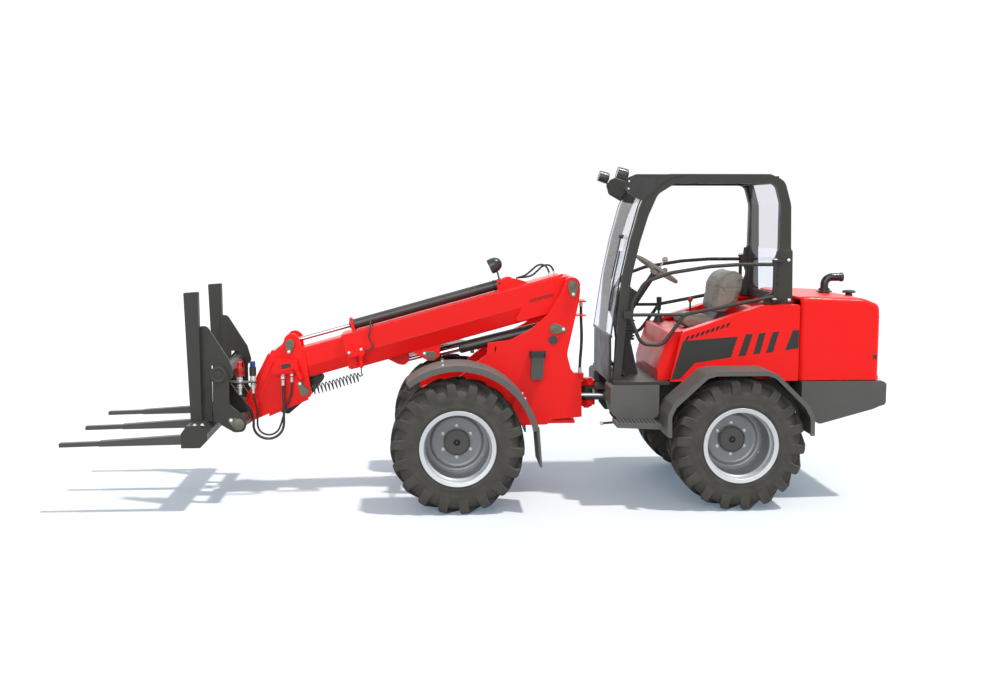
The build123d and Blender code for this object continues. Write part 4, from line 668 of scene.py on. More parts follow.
# ---------------------------------------------------------------- lift, levelling and steering cylinders
# Honed barrels in charcoal with welded eyes and screwed black glands; the rods are
# chromed and end in forged eyes on greased pins.
dress(ram_charcoal, "lift_cylinder_barrel", "level_cylinder_barrel", "steering_cylinder_barrel")
dress(chromed, "lift_cylinder_rod", "level_cylinder_rod", "steering_cylinder_rod")
for name, base, end, y, radius, rod_radius, reach, body in (
    ("lift", CYLINDER_BASE, LIFT_EYE, -78, 40, 25, 740, "lift_barrel"),
    ("level", CYLINDER_BASE, LEVEL_EYE, 88, 35, 18, 930, "level_barrel"),
):
    way = Vector((end[0] - base[0], 0, end[1] - base[1])).normalized()
    start = Vector((base[0], y, base[1])) + way * (reach - 40)
    bm = bmesh.new()
    turned(
        bm, start, way, [(0, radius + 0.5), (2, radius + 1.4), (34, radius + 1.4), (40, radius),
            (42, rod_radius + 8), (47, rod_radius + 6), (49, rod_radius + 1.2)], 40)
    turned(
        bm, start + way * (130 - reach), way, [(0, radius), (1, radius + 2), (8, radius + 2), (9, radius)],
        40)
    port = start + way * (-60) + Vector((0, 0, -radius * 0.9))
    turned(bm, port, (0, -0.3, -1), [(0, 13), (10, 13), (10, 16), (24, 16), (25, 11)], 6)
    piece(name + "_gland", bm, cap_black, body, 0.6)


# ---------------------------------------------------------------- tool carrier and pallet fork
# Flame-cut carrier plates and a forged fork frame in dark enamel; the tines are
# drop forged and polished by use near their tips.
tine_grey = finish(
    "tine_grey", (0.052, 0.052, 0.050), (0.040, 0.040, 0.038), patch=6, gloss=(0.36, 0.55),
    bare=(0.28, 0.28, 0.27), wear=0.6, dust=0.05, grain=300, bump=0.2)
dress(dark_enamel, "tool_carrier", "fork_frame")
dress(tine_grey, "fork_tines")
CARRIER_PIN = (-1618, 621)
for hand, side in HANDS:
    keeper(
        "carrier_keepers_" + hand, [(*CARRIER_PIN, 44, -1672, 652, 21)], "tool_carrier_body", 500, 7,
        side=side)
    lathed("carrier_bosses_" + hand, keeper_olive, "tool_carrier_body", [
        ((CARRIER_PIN[0], side * 512, CARRIER_PIN[1]), (0, side, 0), [(-4, 41), (0, 41), (2, 38), (2, 14),
             (6, 12), (7, 0)], 40),
    ])
    lathed("carrier_upper_bosses_" + hand, dark_enamel, "tool_carrier_body", [
        ((-1759, side * 507, 993), (0, side, 0), [(-2, 63), (1, 63), (3, 59), (3, 40), (1.4, 37), (1.4, 30),
             (5, 28), (6, 0)], 48),
    ])
bm = bmesh.new()
for y in (-686, 0, 686):
    for x in (-1850, -1905):
        add_bolt(bm, (x, y, 649.5), (0, 0, 1), 10)
piece("tine_clamp_bolts", bm, plated, "tool_carrier_body")


# ---------------------------------------------------------------- quick couplers on the carrier
# Two flat-face couplers for the tool's hydraulics: plated bodies with grip rings,
# one with a red sleeve and a wire handle, the other with a blue dust cap.
sleeve_red = finish(
    "sleeve_red", (0.70, 0.012, 0.010), (0.5, 0.01, 0.01), patch=60, gloss=(0.3, 0.42), bump=0.1)
cap_blue = finish("cap_blue", (0.012, 0.06, 0.36), (0.01, 0.04, 0.24), patch=60, gloss=(0.3, 0.42), bump=0.1)
dress(dark_enamel, "tool_couplers")
RED_COUPLER, BLUE_COUPLER, HANDLE_REACH = (-1632, -300), (-1540, -250), 34
for name, (x, y), sleeve in (("red", RED_COUPLER, sleeve_red), ("blue", BLUE_COUPLER, cap_blue)):
    bm = bmesh.new()
    turned(
        bm, (x, y, 852), (0, 0, 1), [(0, 16.8), (44, 16.8), (46, 19), (56, 21.8), (98, 21.8), (101, 24)], 32)
    for z in (866, 880, 918, 934):
        turned(bm, (x, y, z), (0, 0, 1), [(0, 21), (1, 23.5), (4, 23.5), (5, 21)], 32)
    piece(name + "_coupler_body", bm, plated, "tool_carrier_body", 0.5)
    bm = bmesh.new()
    if name == "red":
        turned(
            bm, (x, y, 953), (0, 0, 1), [(0, 24), (2, 26.8), (10, 26.8), (13, 24.4), (16, 26.8), (24, 26.8),
                (27, 24.4), (30, 26.8), (62, 26.8), (66, 22), (72, 19.8), (108, 19.8), (110, 17), (110.4, 0)],
            36)
    else:
        turned(bm, (x, y, 1019), (0, 0, 1), [(0, 19.4), (1, 20), (38, 20), (43, 16), (44, 0)], 36)
    piece(name + "_coupler_sleeve", bm, sleeve, "tool_carrier_body", 0.5)
bm = bmesh.new()
handle = [
    Vector((RED_COUPLER[0] + HANDLE_REACH * sx, RED_COUPLER[1], z)) for sx, z in ((1, 958), (1, 1000),
        (1, 1040), (0.8, 1066), (0.4, 1078), (-0.4, 1078), (-0.8, 1066), (-1, 1040), (-1, 1000), (-1, 958))]
for low, high in zip(handle, handle[1:]):
    turned(bm, low, high - low, [(0, 0), (0, 2.5), ((high - low).length, 2.5), ((high - low).length, 0)], 8)
for sx in (1, -1):
    turned(
        bm, (RED_COUPLER[0] + HANDLE_REACH * sx, RED_COUPLER[1], 958), (-sx, 0, 0),
        [(-2, 2.5), (10, 2.5), (10, 0)], 8)
piece("coupler_handle", bm, sleeve_red, "tool_carrier_body")


# ---------------------------------------------------------------- rear chassis, engine and tow jaw
# Two flame-cut rails with cross plates carry the engine, whose block is cast iron.
# The tow jaw is welded from plate, with a dropped pin.
iron = finish(
    "engine_iron", (0.07, 0.07, 0.068), (0.045, 0.044, 0.042), patch=14, gloss=(0.55, 0.75), grain=240,
    dust=0.2, bump=0.6)
dress(dark_enamel, "rear_chassis", "tow_hitch")
dress(iron, "engine_block")


# ---------------------------------------------------------------- red side panels and seat console
# Panels moulded in red, with dark film stripes that lean forward, and a dark louvred
# strip let into their sloping top edge.
stripe_film = finish(
    "stripe_film", (0.034, 0.034, 0.030), (0.028, 0.028, 0.025), patch=6, gloss=(0.34, 0.45), dust=0.03,
    grain=900, bump=0.05, specular=0.25)
STRIPES = [  # corners (x, z), the front stripe first
    [(1694, 1231), (2110, 1262), (2061, 1104), (1788, 1064), (1677, 944), (1609, 937)],
    [(2170, 1280), (2224, 1280), (2174, 1118), (2114, 1111)], [(2269, 1284), (2322, 1291), (2281, 1132), (2228, 1125)],
    [(2375, 1294), (2425, 1298), (2380, 1143), (2326, 1136)], [(2528, 1308), (2575, 1308), (2575, 1170), (2471, 1154)],
]
dress(red_enamel, "side_panel_left", "side_panel_right", "seat_console", "bonnet")
for hand, side in HANDS:
    bm = bmesh.new()
    for outline in STRIPES:
        add_plate(bm, outline, side * 569.5, side * 570.6)
    piece("panel_stripes_" + hand, bm, stripe_film, "rear_frame")
    bm = bmesh.new()
    for i in range(9):
        x, z = 1722 + i * 38, 1262 + i * 12.4
        add_plate(
            bm, [(x - 2, z + 2), (x + 28, z + 10), (x + 8, z - 31), (x - 21, z - 39)], side * 552, side * 555)
        add_plate(
            bm, [(x + 1, z - 8), (x + 22, z + 2), (x + 19, z - 4), (x - 2, z - 14)], side * 553, side * 567)
    piece("louvre_blades_" + hand, bm, cap_black, "rear_frame", 0.8)


# ---------------------------------------------------------------- bonnet, exhaust, counterweight and mudguards
# The red bonnet tips back on two lugs. The exhaust is bent steel tube, heat tinted;
# the counterweight is cast iron in grey and carries the red tail lamps.
exhaust_steel = finish(
    "exhaust_steel", (0.050, 0.048, 0.046), (0.022, 0.020, 0.019), patch=16, shading=0.8, gloss=(0.2, 0.36),
    bare=(0.20, 0.19, 0.18), wear=0.5, dust=0.06, bump=0.15, metal=0.5)
dress(exhaust_steel, "exhaust_pipe")
lathed("exhaust_collar", cap_black, "bonnet_lid", [
    ((2950, 0, 1556), (0, 0, 1), [(0, 62), (6, 62), (9, 58), (12, 47)], 40),
    ((3072, 0, 1672), (1, 0, 0), [(0, 33), (1, 36), (24, 36), (26, 33), (26, 27), (-8, 26), (-8, 0)], 36),
], 0.8)
lathed("air_intake_cap", cap_black, "bonnet_lid", [
    ((3082, -190, 1500), (0, 0, 1), [(0, 30), (44, 30), (46, 26), (58, 26), (60, 50), (70, 52), (78, 44),
         (83, 24), (84, 0)], 40),
], 0.8)
bm = bmesh.new()
add_plate(bm, [(3199.2, 1196), (3201.5, 1196), (3201.5, 1276), (3199.2, 1276)], -440, 440)
for i in range(9):
    y = (i - 4) * 96
    for z in (1206, 1246):
        add_plate(bm, [(3190, z + 3), (3199, z + 9), (3199, z + 12), (3190, z + 6)], y - 38, y + 38)
piece("rear_grille", bm, stripe_film, "bonnet_lid")
bm = bmesh.new()
for side in (-1, 1):
    add_plate(bm, [(3150, 1086), (3178, 1086), (3178, 1120), (3150, 1120)], side * 569, side * 573)
piece("bonnet_latches", bm, cap_black, "bonnet_lid", 2)
weight_grey = finish(
    "weight_grey", (0.072, 0.073, 0.069), (0.055, 0.056, 0.053), gloss=(0.45, 0.6), bare=(0.17, 0.17, 0.16),
    wear=0.5, grain=260, bump=0.35)
dress(weight_grey, "rear_counterweight")
dress(guard_plastic, "rear_left_fender", "rear_right_fender")
tail_red = finish(
    "tail_lens", (0.55, 0.012, 0.010), (0.35, 0.008, 0.006), patch=120, gloss=(0.12, 0.2), dust=0.05,
    grain=260, bump=0.3, coat=0.6)
bm = bmesh.new()
for side in (-1, 1):
    add_plate(
        bm, [(3255.5, 757), (3259, 759), (3260, 765), (3260, 809), (3259, 815), (3255.5, 817)], side * 474,
        side * 566)
piece("tail_lamp_lenses", bm, tail_red, "rear_frame", 1.2)
bm = bmesh.new()
for side in (-1, 1):
    turned(
        bm, (3216, side * 520, 917), (0, 0, 1), [(0, 22), (3, 22), (4, 16), (26, 16), (36, 13), (40, 6),
            (41, 0)], 28)
piece("counterweight_eye_caps", bm, plated, "rear_frame")


# ---------------------------------------------------------------- cab frame, glass and boarding steps
# Rolled-over safety frame of bent box tube with gussets at the roof; the curved
# windscreen and the rear pane sit in rubber. The floor and steps are folded sheet.
dress(dark_enamel, "cab_frame", "roof_panel", "cab_floor")
dress(guard_plastic, "step_housing_left", "step_housing_right")
pane = bpy.data.materials.new("cab_glass")
pane.use_nodes = True
tree = pane.node_tree
shader = tree.nodes["Principled BSDF"]
tree.links.new(
    use(tree, patchy_shade, Colour=(0.77, 0.76, 0.81, 1), Shade=(0.72, 0.72, 0.78, 1), Patch_Size=3.0,
        Amount=0.5), shader.inputs["Base Color"])
tree.links.new(use(tree, gloss_patches, Low=0.0, High=0.03), shader.inputs["Roughness"])
smear = use(tree, fine_grain, Grain_Size=3.0, Ripple_Size=1.5, Ripple_Share=0.5)
tree.links.new(
    add_node(tree, "Bump", Height=smear, Strength=0.02, Distance=0.001).outputs[0], shader.inputs["Normal"])
shader.inputs["Transmission Weight"].default_value = 1.0
shader.inputs["IOR"].default_value = 1.08
dress(pane, "windscreen", "rear_window")
CAB_FACE = 459
GLASS_CURVE = [(1176, 1250), (1209, 1480), (1240, 1690), (1302, 1980), (1372, 2240), (1448, 2400)]
bm = bmesh.new()
for y in (-452, 440):
    front = [(x - 11.5, z) for x, z in GLASS_CURVE]
    back = [(x - 2, z) for x, z in reversed(GLASS_CURVE)]
    add_plate(bm, front + back, y, y + 12)
add_plate(bm, [(1161, 1244), (1180, 1244), (1182, 1262), (1163, 1262)], -452, 452)
add_plate(bm, [(1430, 2388), (1448, 2384), (1456, 2402), (1438, 2406)], -452, 452)
piece("windscreen_seal", bm, cap_black, "rear_frame", 2)
bm = bmesh.new()
for low, high in ((-405, -393), (393, 405)):
    add_plate(
        bm, [(2443, 1558), (2460, 1558), (2460, 2240), (2444, 2402), (2428, 2402), (2443, 2240)], low, high)
add_plate(bm, [(2443, 1556), (2460, 1556), (2460, 1572), (2443, 1572)], -400, 400)
piece("rear_pane_seal", bm, cap_black, "rear_frame", 2)
wiper_root, wiper_tip = Vector((1272, -240, 2006)), Vector((1152, -240, 1440))
lathed("wiper_arm", cap_black, "rear_frame", [
    (wiper_root, wiper_tip - wiper_root, [(0, 4), (4, 6), (330, 5), (334, 4)], 10),
    ((1268, -240, 2004), (-1, 0, 0.2), [(-22, 16), (0, 16), (10, 14), (14, 8), (15, 0)], 24),
])
bm = bmesh.new()
blade = [(1276, 1892), (1230, 1662), (1205, 1512), (1196, 1430)]
add_plate(bm, [(x - 7, z) for x, z in blade] + [(x - 19, z) for x, z in reversed(blade)], -246, -234)
piece("wiper_blade", bm, cap_black, "rear_frame", 1.5)
for hand, side in HANDS:
    flat_cut("roof_gusset_" + hand, dark_enamel, "rear_frame", [
        ([(1259, 2396), (1289, 2446), (1342, 2468), (1721, 2468), (1589, 2430), (1518, 2379), (1456, 2309),
             (1421, 2284), (1368, 2301), (1280, 2344)], side * CAB_FACE, side * 465),
        ([(2542, 1900), (2550, 1482), (2330, 1495), (2330, 1550), (2392, 1564), (2427, 1636), (2432, 1697),
             (2410, 1757), (2401, 1778), (2418, 1895)], side * CAB_FACE, side * 466),
        ([(2438, 1896), (2534, 1896), (2534, 1912), (2438, 1912)], side * CAB_FACE, side * 463),
    ], 3)
    bm = bmesh.new()
    for x, z in ((2513, 1828), (2525, 1526)):
        add_bolt(bm, (x, side * 466, z), (0, side, 0), 8)
    for x, z in ((1289, 2416), (1286, 2361)):
        add_bolt(bm, (x, side * 465, z), (0, side, 0), 7)
    piece("cab_screws_" + hand, bm, plated, "rear_frame")
    bm = bmesh.new()
    for i in range(11):
        x = 1190 + i * 29
        z = 652 - (x - 1168) * 0.029
        add_plate(
            bm, [(x, z - 3), (x + 12, z - 3.3), (x + 11, z + 3), (x + 1, z + 3.3)], side * 604, side * 756)
    piece("step_grips_" + hand, bm, dark_enamel, "rear_frame", 1)


# ---------------------------------------------------------------- dashboard, steering wheel and levers
# Moulded black column with a rubber bellows; a polyurethane wheel with a spinner
# knob; a joystick on its own bellows and a red-topped lever.
rubber_black = finish(
    "bellows_rubber", (0.020, 0.020, 0.019), (0.030, 0.030, 0.028), patch=20, gloss=(0.55, 0.72), dust=0.14,
    grain=500, bump=0.3)
wheel_grip = finish(
    "wheel_grip", (0.30, 0.285, 0.245), (0.24, 0.225, 0.19), patch=30, gloss=(0.4, 0.55),
    bare=(0.38, 0.37, 0.33), wear=0.5, dust=0.06, grain=1300, bump=0.45)


def lever_top(tree):
    """1 on the knob of the side lever."""
    place = add_node(tree, "SeparateXYZ", Vector=add_node(tree, "TexCoord").outputs["Object"])
    return times(
        tree, ramp(tree, place.outputs["X"], 1.70, 1.702), ramp(tree, place.outputs["Z"], 1.446, 1.448))


lever_red = finish(
    "lever_finish", (0.020, 0.020, 0.019), (0.03, 0.03, 0.03), patch=20, gloss=(0.35, 0.5), dust=0.06,
    bump=0.15, zones=[(lever_top, (0.42, 0.010, 0.009))])
dress(rubber_black, "dashboard")
dress(wheel_grip, "steering_wheel")
dress(lever_red, "control_levers")
bm = bmesh.new()
for i in range(7):
    z = 1190 + i * 24
    add_plate(
        bm, [(1306, z), (1296, z + 9), (1306, z + 18), (1400, z + 18), (1416, z + 9), (1400, z)], -116, 116)
piece("column_bellows", bm, rubber_black, "rear_frame", 4)
flat_cut("instrument_top", stripe_film, "rear_frame", [
    ([(1254, 1568), (1378, 1606), (1386, 1602), (1372, 1596), (1262, 1560)], -100, 100),
], 2)
bm = bmesh.new()
for y in (-230, 230):
    add_plate(bm, [(1300, 928), (1330, 928), (1262, 1006), (1250, 996)], y - 34, y + 34)
    for i in range(4):
        add_plate(
            bm, [(1262 + i * 12, 1000 - i * 14), (1270 + i * 12, 1004 - i * 14), (1276 + i * 12, 998 - i * 14),
                (1268 + i * 12, 992 - i * 14)], y - 32, y + 32)
piece("foot_pedals", bm, cap_black, "rear_frame", 2)
bm = bmesh.new()
WHEEL_TILT = radians(33.3)
hub_up = Vector((sin(WHEEL_TILT), 0, cos(WHEEL_TILT)))
turned(
    bm, Vector((1600, 0, 1738)) - hub_up * 14, hub_up, [(0, 36), (4, 36.5), (9, 33), (12, 24), (13, 0)], 36)
piece("steering_boss", bm, cap_black, "steering_wheel_body")
knob_pale = finish(
    "knob_pale", (0.50, 0.48, 0.43), (0.42, 0.40, 0.35), patch=40, gloss=(0.25, 0.4), dust=0.03, bump=0.08)
stem = Vector((1637.6, 174, 1713.3))
bm = bmesh.new()
turned(bm, stem, hub_up, [(0, 9), (10, 9), (14, 7), (84, 7), (90, 0)], 16)
knob = bmesh.ops.create_uvsphere(bm, u_segments=24, v_segments=16, radius=24)["verts"]
bmesh.ops.translate(bm, verts=knob, vec=stem + hub_up * 112)
piece("steering_knob", bm, knob_pale, "steering_wheel_body")


# ---------------------------------------------------------------- driver's seat
# Two foam cushions in beige vinyl on a moulded dark pan. The foam is swelled against
# its cover, which is then drawn in along three seams.
seat_vinyl = finish(
    "seat_vinyl", (0.27, 0.265, 0.225), (0.20, 0.195, 0.165), patch=14, shading=0.6, gloss=(0.45, 0.62),
    bare=(0.36, 0.35, 0.31), wear=0.4, dust=0.05, grain=420, ripple=60, ripples=0.5, bump=0.4)


CLOTH_STEPS, AIR_PRESSURE, MOST_SWELL = 20, 4, 0.010


def swelled(name, outline, half):
    """A cushion of its outline, remeshed, swelled by air pressure as cloth, and smoothed."""
    bm = bmesh.new()
    add_plate(bm, outline, -half, half)
    bmesh.ops.recalc_face_normals(bm, faces=bm.faces)
    bmesh.ops.transform(bm, matrix=TO_ROW, verts=bm.verts)
    mesh = bpy.data.meshes.new(name)
    bm.to_mesh(mesh)
    bm.free()
    form = bpy.data.objects.new(name, mesh)
    bpy.context.scene.collection.objects.link(form)
    rounded = form.modifiers.new("soft", "BEVEL")
    rounded.width, rounded.segments, rounded.limit_method = 0.022, 4, "ANGLE"
    voxels = form.modifiers.new("voxels", "REMESH")
    voxels.mode, voxels.voxel_size = "VOXEL", 0.007
    depsgraph = bpy.context.evaluated_depsgraph_get()
    rest = bpy.data.meshes.new_from_object(form.evaluated_get(depsgraph))
    form.modifiers.clear()
    form.data = rest
    start = [v.co.copy() for v in rest.vertices]
    cloth = form.modifiers.new("air", "CLOTH")
    cloth.settings.quality = 5
    cloth.settings.use_pressure = True
    cloth.settings.uniform_pressure_force = AIR_PRESSURE
    cloth.settings.effector_weights.gravity = 0
    scene = bpy.context.scene
    for step in range(1, CLOTH_STEPS + 1):
        scene.frame_set(step)
    depsgraph = bpy.context.evaluated_depsgraph_get()
    swollen = bpy.data.meshes.new_from_object(form.evaluated_get(depsgraph))
    form.modifiers.clear()
    for v, at_rest in zip(swollen.vertices, start):
        push = v.co - at_rest
        if push.length > MOST_SWELL:
            v.co = at_rest + push * (MOST_SWELL / push.length)
    form.data = swollen
    scene.frame_set(1)
    return form


def sew(form, seams, material):
    """Press the seams into a cushion, smooth it and let it ride with the seat."""
    for v in form.data.vertices:
        for axis, place, width, depth in seams:
            gap = abs(v.co[axis] - place)
            if gap < width:
                v.co -= v.normal * depth * (1 - gap / width) ** 2
    smooth = form.modifiers.new("smooth", "SUBSURF")
    smooth.levels = smooth.render_levels = 1
    form.data.materials.clear()
    form.data.materials.append(material)
    form.data.shade_smooth()
    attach(form, "rear_frame")


cushion = swelled(
    "seat_cushion", [(1766, 1334), (1786, 1382), (1840, 1386), (2006, 1374), (2030, 1344), (1992, 1300),
        (1802, 1300)], 218)
sew(cushion, [(1, -0.150, 0.012, 0.006), (1, 0.150, 0.012, 0.006), (2, 1.338, 0.008, 0.004)], seat_vinyl)
backrest = swelled(
    "seat_back", [(2014, 1410), (2042, 1634), (2088, 1708), (2178, 1742), (2236, 1702), (2228, 1584),
        (2192, 1486), (2102, 1410)], 213)
sew(backrest, [(1, -0.145, 0.012, 0.006), (1, 0.145, 0.012, 0.006), (2, 1.60, 0.010, 0.005)], seat_vinyl)
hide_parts("driver_seat")
flat_cut("seat_pan", cap_black, "rear_frame", [
    ([(1772, 1290), (2044, 1290), (2060, 1310), (2140, 1440), (2120, 1470), (2070, 1452), (1998, 1330),
         (1990, 1304), (1790, 1304)], -185, 185),
    ([(2120, 1440), (2200, 1480), (2250, 1590), (2250, 1690), (2236, 1690), (2228, 1590), (2186, 1500),
         (2110, 1462)], -150, 150),
], 5)


# ---------------------------------------------------------------- gates and roof lamps
# Low gates of bent dark tube hang on the rear posts. Two round working lamps with
# clear glasses stand on the front roof corners; a short lever sticks out by the step.
dress(dark_enamel, "gate_left", "gate_right")
dress(lamp_black, "roof_lamps")
ROOF_LAMP_WAY = Vector((-0.8, 0, 0.25)).normalized()
glasses, bowls = bmesh.new(), bmesh.new()
for side in (-1, 1):
    centre = Vector((1235, side * (CAB_FACE + 5), 2470))
    for rows in ([(-1, 28), (0, 28.5), (1.5, 26), (2.5, 14), (3, 0)], [(-4, 40.5), (0, 40), (2, 28), (3, 0)]):
        turned(glasses, centre + ROOF_LAMP_WAY * 35, ROOF_LAMP_WAY, rows, 36)
    turned(
        bowls, centre, ROOF_LAMP_WAY, [(-52, 0), (-50, 18), (-45, 34), (-36, 46.6), (-20, 46.8), (10, 45.5),
            (37, 43), (38, 41), (33, 40)], 40)
piece("roof_lamp_glasses", glasses, clear_lens, "rear_frame")
piece("roof_lamp_bowls", bowls, lamp_black, "rear_frame")
lathed("lever_stick", cap_black, "rear_frame", [
    ((1216, -330, 576), (-92, 0, -7), [(0, 9), (78, 9), (80, 0)], 16),
])
bm = bmesh.new()
bmesh.ops.create_uvsphere(bm, u_segments=24, v_segments=16, radius=15)
bmesh.ops.translate(bm, verts=bm.verts, vec=(1124, -330, 569))
piece("lever_ball", bm, plated, "rear_frame")
bm = bmesh.new()
for side in (-1, 1):
    for z in (1520, 1818):
        turned(bm, (2400, side * 494, z + 14), (0, 0, 1), [(0, 20), (3, 20), (5, 17), (8, 16.5)], 24)
piece("gate_hinge_caps", bm, plated, "rear_frame")


# ---------------------------------------------------------------- hoses and the spiral cable
# Braided rubber hoses with crimped plated ends: two from the ram into the boom, two
# behind the frame, two in a loop to the tool, and a coiled electric cable.
hose_black = finish(
    "hose_rubber", (0.022, 0.022, 0.021), (0.034, 0.034, 0.032), patch=30, gloss=(0.42, 0.6), dust=0.08,
    grain=900, ripple=250, ripples=0.8, bump=0.35)
dress(hose_black, "boom_hoses", "frame_hoses", "tool_hose", "spiral_cable")


def hose_line(name, points):
    """Smooth line of a hose: the route's points are the control points of one spline."""
    line = bpy.data.curves.new(name, "CURVE")
    line.dimensions, line.resolution_u = "3D", 10
    spline = line.splines.new("NURBS")
    spline.points.add(len(points) - 1)
    for control, point in zip(spline.points, points):
        control.co = (*at(*point), 1)
    spline.order_u = 3
    spline.use_endpoint_u = True
    return line


def lay_hose(name, points, diameter, body, replaces=None):
    line = hose_line(name, points)
    line.bevel_depth, line.bevel_resolution = diameter / 2000, 5
    line.use_fill_caps = True
    line.materials.append(hose_black)
    laid = bpy.data.objects.new(name, line)
    bpy.context.scene.collection.objects.link(laid)
    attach(laid, body)
    if replaces:
        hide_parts(replaces)


RAM_PORT = 429.9  # along the boom


def boom_route(rows):
    return [on_boom3(*row) for row in rows]


lay_hose(
    "ram_hose_near", boom_route([(RAM_PORT, 150, -15), (370, 150, -15), (309, 151, -17), (251, 180, -19),
            (199, 206, -21), (151, 197, -23), (125, 155, -24), (125, 95.05, -24)]), 16, "boom",
    replaces="boom_hoses")
lay_hose(
    "ram_hose_far", boom_route([(RAM_PORT, 150, 15), (376, 150, 15), (320, 137, 17), (262, 132, 18),
            (208, 158, 20), (160, 186, 22), (112, 184, 23), (84, 148, 24), (84, 95.05, 24)]), 16, "boom")
lay_hose(
    "socket_lead", boom_route([(1560, 95.05, -104), (1560, 124, -106), (1564, 142, -138), (1570, 126, -172),
            (1582, 84, -186), (1606, 44, -188), (1612, 2, -188), (1592, -34, -188), (1604, -60, -188),
            (1636, -66, -188), (1667.9, -66, -188)]), 11, "boom")
lay_hose(
    "frame_hose_inner", [(985, -96, 1500), (985, -96, 1380), (991, -98, 1255), (990, -97, 1130),
        (980, -96, 1035), (980, -96, 936.05)], 18, "front_frame_body", replaces="frame_hoses")
lay_hose(
    "frame_hose_outer", [(985, -128, 1500), (985, -128, 1365), (994, -130, 1230), (988, -129, 1100),
        (980, -128, 1020), (980, -128, 936.05)], 18, "front_frame_body")


def line_points(name, points, fine):
    """Places along a hose's own smooth line, in metres."""
    line = hose_line(name, points)
    line.resolution_u = fine
    holder = bpy.data.objects.new(name, line)
    bpy.context.scene.collection.objects.link(holder)
    mesh = bpy.data.meshes.new_from_object(holder)
    places = [v.co.copy() for v in mesh.vertices]
    bpy.data.objects.remove(holder)
    return places


def tube_along(name, places, diameter, sides):
    """Round rubber tube along a row of places, with its ends closed."""
    bm = bmesh.new()
    rings = []
    side = None
    for i, place in enumerate(places):
        way = (places[min(i + 1, len(places) - 1)] - places[max(i - 1, 0)]).normalized()
        if side is None:
            side = way.orthogonal().normalized()
        side = (side - way * side.dot(way)).normalized()
        other = way.cross(side)
        steps = [2 * pi * k / sides for k in range(sides)]
        rings.append(
            [bm.verts.new(place + (side * cos(a) + other * sin(a)) * diameter / 2000) for a in steps])
    for low, high in zip(rings, rings[1:]):
        for k in range(sides):
            bm.faces.new((low[k], low[(k + 1) % sides], high[(k + 1) % sides], high[k]))
    bm.faces.new(rings[0])
    bm.faces.new(rings[-1])
    bmesh.ops.recalc_face_normals(bm, faces=bm.faces)
    mesh = bpy.data.meshes.new(name)
    bm.to_mesh(mesh)
    bm.free()
    mesh.materials.append(hose_black)
    mesh.shade_smooth()
    mesh.set_sharp_from_angle(angle=radians(50))
    made = bpy.data.objects.new(name, mesh)
    bpy.context.scene.collection.objects.link(made)
    return made


for name, diameter, length, points in (
    ("tool_hose_thick", 20, 1.007, [
        (*NUT_THICK, 905), (*NUT_THICK, 825), (-1318, -186, 740), (-1319, -190, 640), (-1320, -194, 539),
        (-1351, -200, 487), (-1404, -208, 456), (-1464, -218, 457), (-1517, -229, 487), (-1546, -241, 539),
        (-1541, -254, 600), (-1545, -266, 662), (-1571, -280, 718), (-1607, -292, 766), (*RED_COUPLER, 806),
        (*RED_COUPLER, 852)]),
    ("tool_hose_thin", 15, 0.939, [
        (*NUT_THIN, 925), (*NUT_THIN, 855), (-1266, -171, 785), (-1290, -169, 715), (-1322, -168, 640),
        (-1344, -170, 560), (-1368, -173, 507), (-1410, -178, 481), (-1458, -184, 481), (-1500, -190, 505),
        (-1522, -198, 550), (-1518, -208, 610), (-1516, -220, 670), (-1524, -234, 730), (*BLUE_COUPLER, 790),
        (*BLUE_COUPLER, 852)]),
):
    places = line_points(name + "_line", points, 10)
    tube = tube_along(name, places, diameter, 16)
    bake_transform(tube)
    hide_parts("tool_hose")

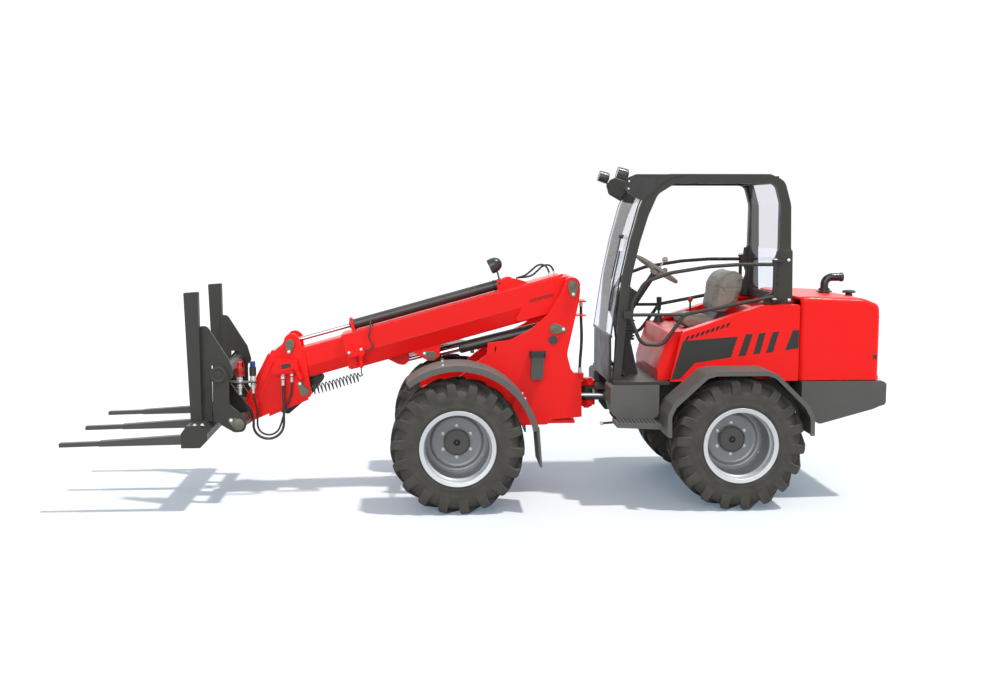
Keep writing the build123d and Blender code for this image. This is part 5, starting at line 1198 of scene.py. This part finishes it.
cable_route = [
    (-721, -205, 999), (-721, -205, 968), (-720, -205, 950), (-707, -205, 942), (-760, -205, 924),
    (-800, -205, 913), (-905, -205, 880), (-1010, -205, 850), (-1075, -205, 833), (-1112, -205, 832),
    (-1150, -205, 856), (-1176.4, -205, 895.9), (-1181.4, -205, 906.6)]
axis_line = line_points("spiral_axis", cable_route, 40)
run = [0.0]
for a, b in zip(axis_line, axis_line[1:]):
    run.append(run[-1] + (b - a).length)
spiral = []
TURNS, COIL = 14, 0.0350
first, last = 0.075, run[-1] - 0.105
for i, place in enumerate(axis_line):
    way = (axis_line[min(i + 1, len(axis_line) - 1)] - axis_line[max(i - 1, 0)]).normalized()
    across = Vector((0, 1, 0))
    up = way.cross(across).normalized()
    share = min(max((run[i] - first) / (last - first), 0), 1)
    grow = min(1, share / 0.05, (1 - share) / 0.05)
    angle = 2 * pi * TURNS * share
    spiral.append(place + (across * sin(angle) + up * cos(angle)) * COIL * grow * grow * (3 - 2 * grow))
cable = tube_along("spiral_cord", spiral, 9, 8)
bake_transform(cable)
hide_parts("spiral_cable")


def crimp(bm, spot, axis, collar, collar_length, neck, length, mouth):
    """Plated end that is crimped on a hose: a round collar, then a narrower neck."""
    turned(
        bm, spot, axis, [(0, collar), (collar_length, collar), (collar_length + 2, neck), (length, neck),
            (length + 2, mouth)], 20)


bm = bmesh.new()
for y in (-15, 15):
    turned(
        bm, on_boom3(RAM_PORT + 3, 150, y), (BOOM_COS, 0, BOOM_SIN), [(0, 10), (1, 12.5), (18, 12.5),
            (19, 10.5), (44, 10.5), (46, 8.4)], 20)
for a, y in ((125, -24), (84, 24)):
    crimp(bm, on_boom3(a, 95, y), (-BOOM_SIN, 0, BOOM_COS), 13, 6, 10.5, 26, 8.4)
piece("ram_hose_ends", bm, plated, "boom")
bm = bmesh.new()
for y in (-96, -128):
    crimp(bm, (985, y, 1500), (0, 0, -1), 13, 10, 11.5, 40, 9.4)
    crimp(bm, (980, y, 936), (0, 0, 1), 13, 10, 11.5, 40, 9.4)
piece("frame_hose_ends", bm, plated, "front_frame_body")
for name, body, ends in (
    ("tool_hose_ends", "tool_carrier_body", (((*RED_COUPLER, 853), 15, 10, 13, 40, 10.4),
                                             ((*BLUE_COUPLER, 853), 13, 10, 10.5, 36, 7.9))),
    ("head_hose_ends", "boom_extension", (((*NUT_THICK, 906), 15, 4, 13, 40, 10.4),
                                          ((*NUT_THIN, 926), 12, 4, 10.5, 36, 7.9))),
):
    bm = bmesh.new()
    for spot, *sizes in ends:
        crimp(bm, spot, (0, 0, -1), *sizes)
    piece(name, bm, plated, body)
